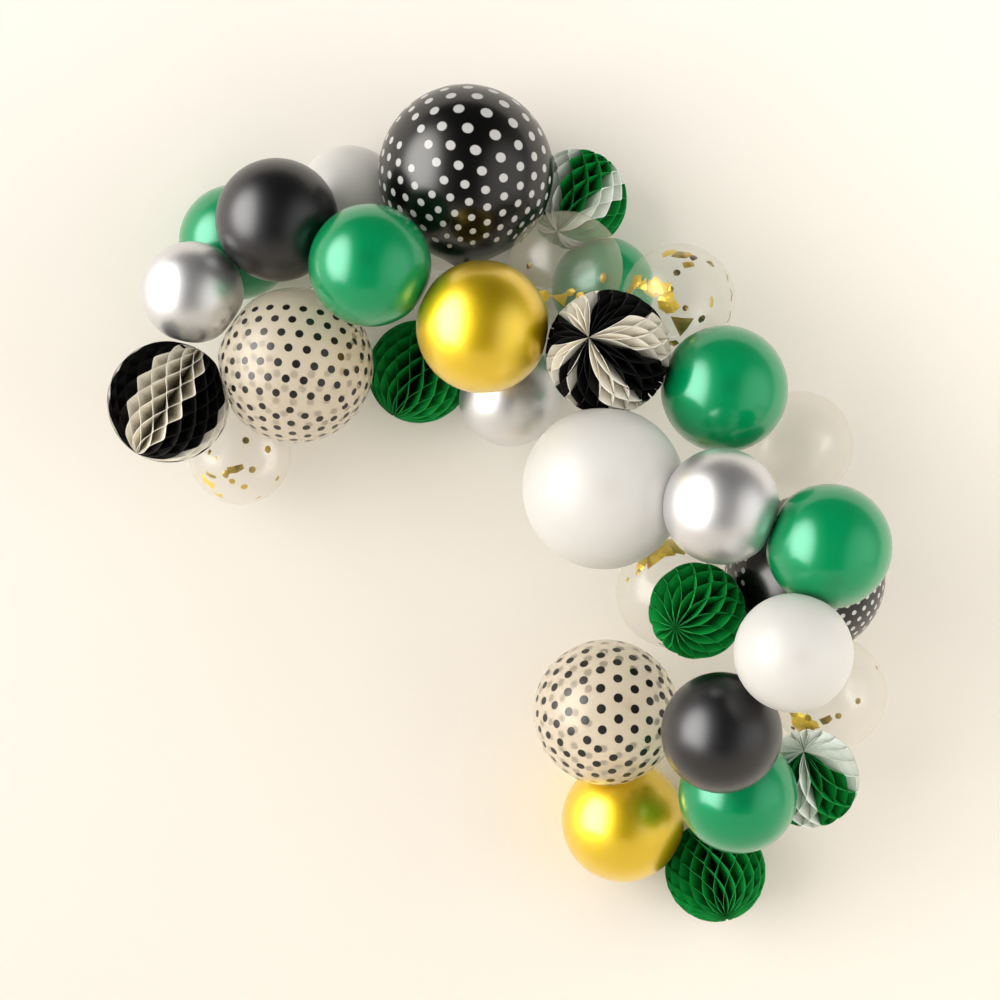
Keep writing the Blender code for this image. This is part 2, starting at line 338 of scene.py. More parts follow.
def set_point_values(mesh: bpy.types.Mesh, name: str, values: np.ndarray) -> None:
    """Store one number for each vertex, for the shader to read."""
    layer = mesh.attributes.new(name, "FLOAT", "POINT")
    layer.data.foreach_set("value", values.astype(np.float32))


def loop_vertices(mesh: bpy.types.Mesh) -> np.ndarray:
    """Read a mesh's faces corner by corner.

    Args:
        mesh: The mesh.

    Returns:
        The number of the vertex at each corner.
    """
    numbers = np.zeros(len(mesh.loops), dtype=np.int32)
    mesh.loops.foreach_get("vertex_index", numbers)
    return numbers


def set_flat_layout(mesh: bpy.types.Mesh, name: str, places: np.ndarray) -> None:
    """Store where each face's corners lie on a flat layout, for the shader to read."""
    layer = mesh.uv_layers.new(name=name)
    layer.data.foreach_set("uv", places.astype(np.float32).ravel())


class Graph:
    """A node tree that is being built, with short calls that add and link its nodes."""

    def __init__(self, tree: bpy.types.NodeTree) -> None:
        """Start on an empty tree."""
        self.tree = tree
        tree.nodes.clear()

    def add(self, kind: str, **settings: Any) -> bpy.types.Node:
        """Add a node and set its plain properties.

        Args:
            kind: Blender's name for the node's type.
            **settings: Property names and their values.

        Returns:
            The node.
        """
        node = self.tree.nodes.new(kind)
        for name, value in settings.items():
            setattr(node, name, value)
        return node

    def feed(self, socket: Socket, value: Any) -> None:
        """Link a socket into another, or set it to a plain value.

        Args:
            socket: The socket that is fed.
            value: A socket, a number, a vector, or a colour of three numbers.
        """
        if isinstance(value, bpy.types.NodeSocket):
            self.tree.links.new(value, socket)
        elif socket.type == "RGBA" and len(value) == 3:
            socket.default_value = (*value, 1.0)
        else:
            socket.default_value = value

    def fill(self, node: bpy.types.Node, values: dict[str, Any]) -> bpy.types.Node:
        """Feed a node's inputs by name.

        Args:
            node: The node.
            values: What each input is fed; a name's underscores stand for spaces.

        Returns:
            The node.
        """
        for name, value in values.items():
            self.feed(node.inputs[name.replace("_", " ")], value)
        return node

    def line_up(self, node: bpy.types.Node, values: Sequence[Any]) -> Socket:
        """Feed a node's first inputs in their order.

        Args:
            node: The node.
            values: What each input is fed.

        Returns:
            The node's first output.
        """
        for socket, value in zip(node.inputs, values):
            self.feed(socket, value)
        return node.outputs[0]

    def math(self, operation: str, *values: Any, clamp: bool = False) -> Socket:
        """Add a Math node and return its result."""
        node = self.add("ShaderNodeMath", operation=operation, use_clamp=clamp)
        return self.line_up(node, values)

    def mix(self, factor: Any, first: Any, second: Any) -> Socket:
        """Mix two colours.

        Args:
            factor: How much of the second there is, from 0 to 1.
            first: The first colour.
            second: The second colour.

        Returns:
            The mixed colour.
        """
        node = self.add("ShaderNodeMix", data_type="RGBA", blend_type="MIX")
        self.feed(node.inputs[MIX_FACTOR], factor)
        self.feed(node.inputs[MIX_FIRST], first)
        self.feed(node.inputs[MIX_SECOND], second)
        return node.outputs[MIX_RESULT]

    def ramp(self, value: Any, low: Any, high: Any, to_low: float, to_high: float) -> Socket:
        """Map a value smoothly from one range to another."""
        node = self.add("ShaderNodeMapRange", interpolation_type="SMOOTHSTEP")
        return self.line_up(node, (value, low, high, to_low, to_high))

    def noise(self, where: Any, scale: float, detail: float = 3.0, rough: float = 0.5) -> Socket:
        """Add a noise.

        Args:
            where: The place it is read at.
            scale: How fine it is.
            detail: How many finer layers it has.
            rough: How strong the finer layers are.

        Returns:
            Its value.
        """
        node = self.add("ShaderNodeTexNoise")
        values = {"Vector": where, "Scale": scale, "Detail": detail, "Roughness": rough}
        return self.fill(node, values).outputs["Fac"]

    def own_place(self) -> Socket:
        """Return the place of a point in its object's own axes."""
        return self.add("ShaderNodeTexCoord").outputs["Object"]

    def laid_flat(self, name: str) -> Socket:
        """Return the place of a point on a named flat layout of the mesh."""
        return self.add("ShaderNodeUVMap", uv_map=name).outputs["UV"]

    def stored(self, name: str) -> Socket:
        """Return a value stored on the mesh."""
        return self.add("ShaderNodeAttribute", attribute_name=name).outputs["Fac"]

    def bump(self, height: Any, strength: float, distance: float) -> Socket:
        """Bend the surface's normal by a height and return it."""
        values = {"Strength": strength, "Distance": distance, "Height": height}
        return self.fill(self.add("ShaderNodeBump"), values).outputs["Normal"]

    def group(self, tree: bpy.types.NodeTree, **values: Any) -> bpy.types.Node:
        """Add a node group and feed its inputs."""
        return self.fill(self.add("ShaderNodeGroup", node_tree=tree), values)

    def principled(self, **values: Any) -> bpy.types.Node:
        """Add a Principled shader and feed its inputs."""
        return self.fill(self.add("ShaderNodeBsdfPrincipled"), values)

    def glossy(self, roughness: float, normal: Socket) -> Socket:
        """Add a plain white gloss and return its shader."""
        values = {"Roughness": roughness, "Normal": normal}
        return self.fill(self.add("ShaderNodeBsdfGlossy"), values).outputs[0]

    def facing(self, width: float) -> Socket:
        """Return how far the surface turns away from the eye."""
        return self.fill(self.add("ShaderNodeLayerWeight"), {"Blend": width}).outputs["Facing"]

    def mix_shaders(self, factor: Any, first: Socket, second: Socket) -> Socket:
        """Mix two shaders and return the result."""
        return self.line_up(self.add("ShaderNodeMixShader"), (factor, first, second))

    def finish(self, shader: Socket) -> None:
        """Link a shader to the material's output."""
        self.fill(self.add("ShaderNodeOutputMaterial"), {"Surface": shader})


class EffectGroup:
    """A shader node group that several materials share, built once."""

    title = "effect"
    inputs: tuple[tuple[str, str, Any], ...] = ()
    outputs: tuple[tuple[str, str], ...] = ()

    @classmethod
    def tree(cls) -> bpy.types.NodeTree:
        """Make the group's node tree at the first call, and hand the same one out later.

        Returns:
            The node tree.
        """
        found = bpy.data.node_groups.get(cls.title)
        if found:
            return found
        tree = bpy.data.node_groups.new(cls.title, "ShaderNodeTree")
        graph = Graph(tree)
        for name, kind, value in cls.inputs:
            socket = tree.interface.new_socket(name, in_out="INPUT", socket_type=kind)
            socket.default_value = (*value, 1.0) if kind == "NodeSocketColor" else value
        for name, kind in cls.outputs:
            tree.interface.new_socket(name, in_out="OUTPUT", socket_type=kind)
        given = graph.add("NodeGroupInput").outputs
        cls.wire(graph, given, graph.add("NodeGroupOutput").inputs)
        return tree

    @classmethod
    def wire(cls, graph: Graph, given: Any, wanted: Any) -> None:
        """Add the group's nodes between its inputs, given, and its outputs, wanted."""
        raise NotImplementedError


class LatexSkin(EffectGroup):
    """Stretched latex: deeper in colour where it is thick, at the neck and the crown."""

    title = "latex_skin"
    inputs = (
        ("Thin Colour", "NodeSocketColor", (0.5, 0.5, 0.5)),
        ("Thick Colour", "NodeSocketColor", (0.2, 0.2, 0.2)),
        ("Mottling", "NodeSocketFloat", 0.1),
        ("Roughness", "NodeSocketFloat", 0.25),
    )
    outputs = (
        ("Colour", "NodeSocketColor"),
        ("Roughness", "NodeSocketFloat"),
        ("Height", "NodeSocketFloat"),
    )
    cloud_scale = 14.0
    grain_scale = 420.0
    duller_grain = 0.06
    duller_clouds = 0.08
    duller_thick = 0.12
    cloud_height = 2.0

    @classmethod
    def wire(cls, graph: Graph, given: Any, wanted: Any) -> None:
        """Mix thin and thick colour by the stored thickness, with a cloudy mottling.

        Args:
            graph: The group's graph.
            given: The group's inputs.
            wanted: The group's outputs.
        """
        place = graph.own_place()
        clouds = graph.noise(place, cls.cloud_scale, 4.0, 0.55)
        grain = graph.noise(place, cls.grain_scale, 2.0, 0.6)
        thick = graph.stored("thickness")
        drift = graph.math("SUBTRACT", clouds, 0.5)
        uneven = graph.math("MULTIPLY", drift, given["Mottling"])
        share = graph.math("ADD", thick, uneven, clamp=True)
        graph.feed(wanted["Colour"], graph.mix(share, given["Thin Colour"], given["Thick Colour"]))
        duller = graph.math("MULTIPLY", graph.math("SUBTRACT", grain, 0.5), cls.duller_grain)
        blotch = graph.math("MULTIPLY", drift, cls.duller_clouds)
        rough = graph.math("ADD", given["Roughness"], graph.math("ADD", duller, blotch))
        neck = graph.math("MULTIPLY", thick, cls.duller_thick)
        graph.feed(wanted["Roughness"], graph.math("ADD", rough, neck, clamp=True))
        swell = graph.math("MULTIPLY", clouds, cls.cloud_height)
        graph.feed(wanted["Height"], graph.math("ADD", grain, swell))


class DotPrint(EffectGroup):
    """Two crossed rows of printed dots over an unrolled face of a balloon."""

    title = "dot_print"
    inputs = (
        ("Across", "NodeSocketFloat", 0.4),
        ("Along", "NodeSocketFloat", 0.2),
        ("Radius", "NodeSocketFloat", 0.05),
        ("Softness", "NodeSocketFloat", 0.01),
    )
    outputs = (("Mask", "NodeSocketFloat"),)
    wobble_scale = 9.0
    wobble = 0.025

    @classmethod
    def wire(cls, graph: Graph, given: Any, wanted: Any) -> None:
        """Measure how far a point is from the nearest dot of either row.

        Args:
            graph: The group's graph.
            given: The group's inputs.
            wanted: The group's outputs.
        """
        parts = graph.add("ShaderNodeSeparateXYZ")
        graph.feed(parts.inputs[0], graph.laid_flat("print_face"))
        wobble = graph.noise(graph.own_place(), cls.wobble_scale, 1.0)
        drift = graph.math("MULTIPLY", graph.math("SUBTRACT", wobble, 0.5), cls.wobble)
        distances = []
        for row in (0.0, 1.0):
            x = cls.from_dot(graph, parts.outputs[0], given["Across"], row, drift)
            y = cls.from_dot(graph, parts.outputs[1], given["Along"], row, 0.0)
            squares = graph.math("ADD", graph.math("MULTIPLY", x, x), graph.math("MULTIPLY", y, y))
            distances.append(graph.math("SQRT", squares))
        nearest = graph.math("MINIMUM", *distances)
        inner = graph.math("SUBTRACT", given["Radius"], given["Softness"])
        outer = graph.math("ADD", given["Radius"], given["Softness"])
        graph.feed(wanted["Mask"], graph.ramp(nearest, inner, outer, 1.0, 0.0))

    @staticmethod
    def from_dot(graph: Graph, place: Socket, pitch: Socket, row: float, drift: Any) -> Socket:
        """Measure one way from a point to the middle of the nearest dot of a row.

        Args:
            graph: The group's graph.
            place: The point's place on the print, one way.
            pitch: How far apart the dots are that way.
            row: 0 for the first row, 1 for the one that is set half a pitch on.
            drift: How far the print has strayed there.

        Returns:
            The distance, signed.
        """
        half = graph.math("MULTIPLY", pitch, 0.5)
        moved = graph.math("ADD", place, graph.math("MULTIPLY", half, row))
        strayed = graph.math("ADD", moved, drift)
        return graph.math("WRAP", strayed, half, graph.math("MULTIPLY", half, -1.0))


class CrepeTissue(EffectGroup):
    """Thin tissue paper: fine crepe lines, cloudy pulp, painted shade deep in the ball and a painted
    highlight on the cut edge.
    """

    title = "crepe_tissue"
    inputs = (
        ("Colour", "NodeSocketColor", (0.5, 0.5, 0.5)),
        ("Edge Colour", "NodeSocketColor", (0.7, 0.7, 0.7)),
        ("Deep Colour", "NodeSocketColor", (0.2, 0.2, 0.2)),
    )
    outputs = (("Colour", "NodeSocketColor"), ("Height", "NodeSocketFloat"))
    line_stretch = (1.0, 6.0, 1.0)
    line_scale = 160.0
    pulp_scale = 60.0
    pulp_tone = 0.25
    # Painted shade over the inner part of each sheet, and a painted highlight on its cut edge
    painted_shade_reach = (0.55, 0.97)
    painted_highlight_reach = (0.965, 0.995)
    painted_highlight_share = 0.70

    @classmethod
    def wire(cls, graph: Graph, given: Any, wanted: Any) -> None:
        """Paint shade on each sheet's deep inner part and a highlight on its cut edge.

        Args:
            graph: The group's graph.
            given: The group's inputs.
            wanted: The group's outputs.
        """
        place = graph.laid_flat("sheet")
        stretch = graph.add("ShaderNodeMapping")
        graph.fill(stretch, {"Vector": place, "Scale": cls.line_stretch})
        lines = graph.noise(stretch.outputs[0], cls.line_scale, 4.0, 0.6)
        pulp = graph.noise(place, cls.pulp_scale, 4.0, 0.6)
        reach = graph.stored("reach")
        # Painted shade, darker towards the axis, and a painted highlight on the cut edge
        deep = graph.ramp(reach, *cls.painted_shade_reach, 1.0, 0.0)
        edge = graph.ramp(reach, *cls.painted_highlight_reach, 0.0, cls.painted_highlight_share)
        cloudy = graph.math("MULTIPLY", pulp, cls.pulp_tone)
        body = graph.mix(deep, given["Colour"], given["Deep Colour"])
        highlighted = graph.mix(edge, body, given["Edge Colour"])
        shade = graph.add("ShaderNodeHueSaturation")
        graph.feed(shade.inputs["Value"], graph.math("ADD", graph.stored("tone"), cloudy))
        graph.feed(shade.inputs["Color"], highlighted)
        graph.feed(wanted["Colour"], shade.outputs[0])
        graph.feed(wanted["Height"], graph.math("ADD", lines, pulp))


@dataclass(frozen=True)
class Finish:
    """What a surface is made of: one material, named in a maker's words."""

    name: str

    def material(self) -> bpy.types.Material:
        """Build the finish as a material of its own.

        Returns:
            The material.
        """
        material = bpy.data.materials.new(self.name)
        material.use_nodes = True
        graph = Graph(material.node_tree)
        graph.finish(self.surface(graph))
        return material

    def surface(self, graph: Graph) -> Socket:
        """Add the finish's nodes to its graph and return its shader."""
        raise NotImplementedError


@dataclass(frozen=True)
class Latex(Finish):
    """Balloon latex: its colours where it is stretched thin and where it is thick."""

    thin: Colour
    thick: Colour
    roughness: float
    mottling: float = field(default=0.25, kw_only=True)
    grain: float = field(default=0.05, kw_only=True)

    def skin(self, graph: Graph) -> tuple[Socket, Socket, Socket]:
        """Add the skin that every latex finish shares.

        Args:
            graph: The material's graph.

        Returns:
            Its colour, its roughness and its normal.
        """
        skin = graph.group(
            LatexSkin.tree(),
            Thin_Colour=self.thin,
            Thick_Colour=self.thick,
            Mottling=self.mottling,
            Roughness=self.roughness,
        )
        normal = graph.bump(skin.outputs["Height"], self.grain, GRAIN_DEPTH)
        return skin.outputs["Colour"], skin.outputs["Roughness"], normal


@dataclass(frozen=True)
class PearlLatex(Latex):
    """Opaque latex with a pearly bloom: a soft gloss under a thin clear one."""

    coat: float
    gleam: Colour = (1.0, 1.0, 1.0)
    gloss_roughness: float = 0.16
    gloss_ior: float = 1.5

    def surface(self, graph: Graph) -> Socket:
        """Lay the clear gloss over the tinted bloom of the skin.

        Args:
            graph: The material's graph.

        Returns:
            The shader.
        """
        colour, roughness, normal = self.skin(graph)
        shader = graph.principled(
            Base_Color=colour,
            Roughness=roughness,
            Specular_Tint=self.gleam,
            Coat_Weight=self.coat,
            Coat_Roughness=self.gloss_roughness,
            Coat_IOR=self.gloss_ior,
            Normal=normal,
        )
        return shader.outputs[0]


@dataclass(frozen=True)
class ChromeLatex(Latex):
    """Metallic latex: a satin mirror, duller where it is thick."""

    coat: float
    metal: float = 0.88
    gloss_roughness: float = 0.22
    gloss_ior: float = 1.5
    mottling: float = field(default=0.30, kw_only=True)
    grain: float = field(default=0.06, kw_only=True)

    def surface(self, graph: Graph) -> Socket:
        """Make the skin mirror the room softly.

        Args:
            graph: The material's graph.

        Returns:
            The shader.
        """
        colour, roughness, normal = self.skin(graph)
        shader = graph.principled(
            Base_Color=colour,
            Roughness=roughness,
            Metallic=self.metal,
            Coat_Weight=self.coat,
            Coat_Roughness=self.gloss_roughness,
            Coat_IOR=self.gloss_ior,
            Normal=normal,
        )
        return shader.outputs[0]


@dataclass(frozen=True)
class PrintedLatex(Latex):
    """Latex printed with round dots, opaque or clear under the print.

    across and along are the print's pitch on the flat screen, in radii of the balloon, and
    film is how much of the light the bare latex stops.
    """

    ink: Colour
    across: float
    along: float
    dot_radius: float
    dot_softness: float = 0.005
    ink_dullness: float = 0.15
    coat: float = 0.10
    gloss_roughness: float = 0.16
    film: float = 1.0

    def surface(self, graph: Graph) -> Socket:
        """Print the dots on the skin, duller and denser than it.

        Args:
            graph: The material's graph.

        Returns:
            The shader.
        """
        colour, roughness, normal = self.skin(graph)
        dots = graph.group(
            DotPrint.tree(),
            Across=self.across,
            Along=self.along,
            Radius=self.dot_radius,
            Softness=self.dot_softness,
        )
        mask = dots.outputs["Mask"]
        duller = graph.math("MULTIPLY", mask, self.ink_dullness)
        shader = graph.principled(
            Base_Color=graph.mix(mask, colour, self.ink),
            Roughness=graph.math("ADD", roughness, duller),
            Coat_Weight=self.coat,
            Coat_Roughness=self.gloss_roughness,
            Normal=normal,
        )
        if self.film < 1.0:
            denser = graph.math("MULTIPLY", mask, 1.0 - self.film)
            stopped = graph.math("ADD", denser, self.film, clamp=True)
            graph.feed(shader.inputs["Alpha"], stopped)
        return shader.outputs[0]


@dataclass(frozen=True)
class ClearLatex(Latex):
    """Clear latex: a thin milky film with a gloss of its own, denser round its rim.

    film and rim_film are how much of the light it stops facing the eye and at its rim.
    """

    film: float
    gloss: float = 0.045
    gloss_roughness: float = 0.26
    rim_colour: Colour = (0.74, 0.67, 0.50)
    rim_width: float = 0.12
    rim_film: float = 0.48
    rim_roughness: float = 0.3
    mottling: float = field(default=0.35, kw_only=True)
    grain: float = field(default=0.015, kw_only=True)

    def surface(self, graph: Graph) -> Socket:
        """Let the room show through the film, less so where it turns away.

        Args:
            graph: The material's graph.

        Returns:
            The shader.
        """
        colour, roughness, normal = self.skin(graph)
        body = graph.principled(
            Base_Color=colour, Roughness=roughness, Alpha=self.film, Normal=normal
        )
        gloss = graph.glossy(self.gloss_roughness, normal)
        glossed = graph.mix_shaders(self.gloss, body.outputs[0], gloss)
        rim = graph.principled(
            Base_Color=self.rim_colour,
            Roughness=self.rim_roughness,
            Alpha=self.rim_film,
            Normal=normal,
        )
        return graph.mix_shaders(graph.facing(self.rim_width), glossed, rim.outputs[0])


@dataclass(frozen=True)
class TissuePaper(Finish):
    """Honeycomb tissue, matt, with a painted highlight on its cut edge and painted shade deep in the ball.
    """

    colour: Colour
    # edge is the painted highlight on the cut edge, deep the painted shade deep in the ball
    edge: Colour
    deep: Colour
    roughness: float = 0.72
    gloss: float = 0.2
    crepe: float = 0.35

    def surface(self, graph: Graph) -> Socket:
        """Crepe the paper, with painted shade on its deep part and a painted highlight on its edge.

        Args:
            graph: The material's graph.

        Returns:
            The shader.
        """
        paper = graph.group(
            CrepeTissue.tree(), Colour=self.colour, Edge_Colour=self.edge, Deep_Colour=self.deep
        )
        shader = graph.principled(
            Base_Color=paper.outputs["Colour"],
            Roughness=self.roughness,
            Specular_IOR_Level=self.gloss,
            Normal=graph.bump(paper.outputs["Height"], self.crepe, CREPE_DEPTH),
        )
        return shader.outputs[0]


@dataclass(frozen=True)
class MetalFoil(Finish):
    """Crinkled metal foil with light painted piece by piece: brighter pieces painted as catching the light,
    darker ones painted in shade.

    A piece is metal by mirror for each unit that its tone is below full_mirror.
    """

    # bright is the colour of a piece painted as catching the light, dark that of one painted in shade
    bright: Colour
    dark: Colour
    roughness: float = 0.22
    unevenness: float = 0.2
    crinkle_scale: float = 130.0
    crinkle: float = 0.6
    full_mirror: float = 1.5
    mirror: float = 0.6

    def surface(self, graph: Graph) -> Socket:
        """Crinkle the foil and paint each piece's light; the brighter a piece is painted, the less of a
        mirror it is.

        Args:
            graph: The material's graph.

        Returns:
            The shader.
        """
        # The stored tone is each piece's painted light
        tone = graph.stored("tone")
        crinkle = graph.noise(graph.own_place(), self.crinkle_scale, 2.0, 0.5)
        duller = graph.math("MULTIPLY", crinkle, self.unevenness)
        painted_shade = graph.math("SUBTRACT", self.full_mirror, tone)
        shader = graph.principled(
            Base_Color=graph.mix(tone, self.dark, self.bright),
            Roughness=graph.math("ADD", self.roughness, duller),
            Metallic=graph.math("MULTIPLY", painted_shade, self.mirror, clamp=True),
            Normal=graph.bump(crinkle, self.crinkle, CRINKLE_DEPTH),
        )
        return shader.outputs[0]


@dataclass(frozen=True)
class ClearPlastic(Finish):
    """Clear pressed plastic with a faint haze and a glossy face."""

    colour: Colour
    film: float
    roughness: float = 0.12
    unevenness: float = 0.18
    haze_scale: float = 260.0
    haze: float = 0.12
    gloss_roughness: float = 0.1
    gloss_width: float = 0.15

    def surface(self, graph: Graph) -> Socket:
        """Lay the gloss over the hazy plastic where it turns away.

        Args:
            graph: The material's graph.

        Returns:
            The shader.
        """
        haze = graph.noise(graph.own_place(), self.haze_scale, 3.0, 0.6)
        normal = graph.bump(haze, self.haze, GRAIN_DEPTH)
        duller = graph.math("MULTIPLY", haze, self.unevenness)
        body = graph.principled(
            Base_Color=self.colour,
            Roughness=graph.math("ADD", self.roughness, duller),
            Alpha=self.film,
            Normal=normal,
        )
        gloss = graph.glossy(self.gloss_roughness, normal)
        return graph.mix_shaders(graph.facing(self.gloss_width), body.outputs[0], gloss)


@dataclass(frozen=True)
class WallPaint(Finish):
    """Matt paint that drifts between two shades, and is seen from the room alone."""

    pale: Colour
    deep: Colour
    roughness: float = 0.9
    gloss: float = 0.1
    drift: float = 0.25
    drift_scale: float = 1.1

    def surface(self, graph: Graph) -> Socket:
        """Paint the front, and let lamplight and looks through from behind.

        Args:
            graph: The material's graph.

        Returns:
            The shader.
        """
        grain = graph.noise(graph.own_place(), self.drift_scale, 2.0)
        colour = graph.mix(graph.math("MULTIPLY", grain, self.drift), self.pale, self.deep)
        paint = graph.principled(
            Base_Color=colour, Roughness=self.roughness, Specular_IOR_Level=self.gloss
        )
        through = graph.add("ShaderNodeBsdfTransparent")
        back = graph.add("ShaderNodeNewGeometry").outputs["Backfacing"]
        shadow = graph.add("ShaderNodeLightPath").outputs["Is Shadow Ray"]
        hidden = graph.math("MAXIMUM", back, shadow)
        return graph.mix_shaders(hidden, paint.outputs[0], through.outputs[0])


# Pitch of the printed dots, across and along, in radii of the balloon
BLACK_PITCH = (0.370, 0.190)
CLEAR_PITCH = (0.232, 0.390)

LATEX: dict[Slot, Latex] = {
    Slot.PEARL_GREEN: PearlLatex(
        "pearl_green", (0.000, 0.235, 0.072), (0.000, 0.110, 0.031), 0.30,
        coat=0.66, gleam=(0.0, 1.0, 0.80), gloss_roughness=0.15, gloss_ior=1.6,
    ),
    Slot.PEARL_WHITE: PearlLatex(
        "pearl_white", (0.650, 0.640, 0.610), (0.545, 0.520, 0.470), 0.46, coat=0.10
    ),
    Slot.PEARL_BLACK: PearlLatex(
        "pearl_black", (0.004, 0.004, 0.005), (0.002, 0.002, 0.003), 0.36,
        coat=0.45, gleam=(0.95, 0.95, 1.0), gloss_roughness=0.32,
    ),
    Slot.SILVER: ChromeLatex(
        "chrome_silver", (0.740, 0.740, 0.755), (0.430, 0.425, 0.430), 0.39, coat=0.0
    ),
    Slot.GOLD: ChromeLatex(
        "chrome_gold", (0.890, 0.620, 0.006), (0.520, 0.320, 0.004), 0.43,
        coat=0.9, gloss_ior=1.7,
    ),
    Slot.DOTTED_BLACK: PrintedLatex(
        "dotted_black", (0.003, 0.003, 0.003), (0.001, 0.001, 0.001), 0.24,
        (0.50, 0.50, 0.49), *BLACK_PITCH, dot_radius=0.043,
    ),
    Slot.DOTTED_CLEAR: PrintedLatex(
        "dotted_clear", (0.800, 0.700, 0.550), (0.660, 0.530, 0.370), 0.22,
        (0.010, 0.009, 0.008), *CLEAR_PITCH, dot_radius=0.054, film=0.50,
    ),
    Slot.CLEAR: ClearLatex(
        "clear_latex", (0.720, 0.670, 0.560), (0.520, 0.450, 0.320), 0.20, film=0.10
    ),
    Slot.CONFETTI: ClearLatex(
        "confetti_latex", (0.880, 0.820, 0.680), (0.620, 0.520, 0.360), 0.20, film=0.05
    ),
}

# Each tissue: its own colour, its painted highlight for the cut edge, and its painted shade for deep in the
# ball
TISSUE: dict[Tissue, TissuePaper] = {
    Tissue.GREEN: TissuePaper(
        "tissue_green", (0.001, 0.270, 0.040), (0.020, 0.300, 0.070), (0.000, 0.115, 0.013)
    ),
    Tissue.WHITE: TissuePaper(
        "tissue_white", (0.860, 0.910, 0.850), (0.900, 0.930, 0.880), (0.790, 0.860, 0.770)
    ),
    Tissue.BLACK: TissuePaper(
        "tissue_black", (0.004, 0.004, 0.004), (0.007, 0.007, 0.007), (0.001, 0.001, 0.001)
    ),
    Tissue.CREAM: TissuePaper(
        "tissue_cream", (0.850, 0.815, 0.715), (0.880, 0.845, 0.750), (0.760, 0.710, 0.590)
    ),
}

# Gold foil: its colour painted as catching the light, and painted in shade
GOLD_FOIL = MetalFoil("gold_foil", (1.0, 0.71, 0.055), (0.095, 0.058, 0.011))
STRIP_PLASTIC = ClearPlastic("strip_plastic", (0.85, 0.86, 0.86), film=0.35)
WALL_PAINT = WallPaint("wall_paint", (0.845, 0.805, 0.745), (0.82, 0.77, 0.68))
FLOOR_PAINT = WallPaint("floor_paint", (0.74, 0.70, 0.64), (0.70, 0.66, 0.60))


@dataclass
class Palette:
    """The materials made so far, so that pieces of one finish share one material."""

    made: dict[str, bpy.types.Material] = field(default_factory=dict)

    def dress(self, piece: bpy.types.Object, finish: Finish) -> None:
        """Add a finish to a piece's material slots.

        Args:
            piece: The piece.
            finish: The finish, built at its first use.
        """
        if finish.name not in self.made:
            self.made[finish.name] = finish.material()
        piece.data.materials.append(self.made[finish.name])


def stand_for(piece: bpy.types.Object, placing: Placing) -> None:
    """Let a piece ride on the frame in the place of its solid.

    Args:
        piece: The piece.
        placing: The balloon or ball that it is.
    """
    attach(piece, "root")
    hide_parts(placing.name)


class Ring(NamedTuple):
    """One ring of a balloon's skin.

    distance is along the axis from the centre towards the neck, thickness goes from 0 for thin
    latex to 1 for thick, and pleats is how deep its pleats are, as a share of its radius.
    """

    distance: float
    radius: float
    thickness: float
    pleats: float


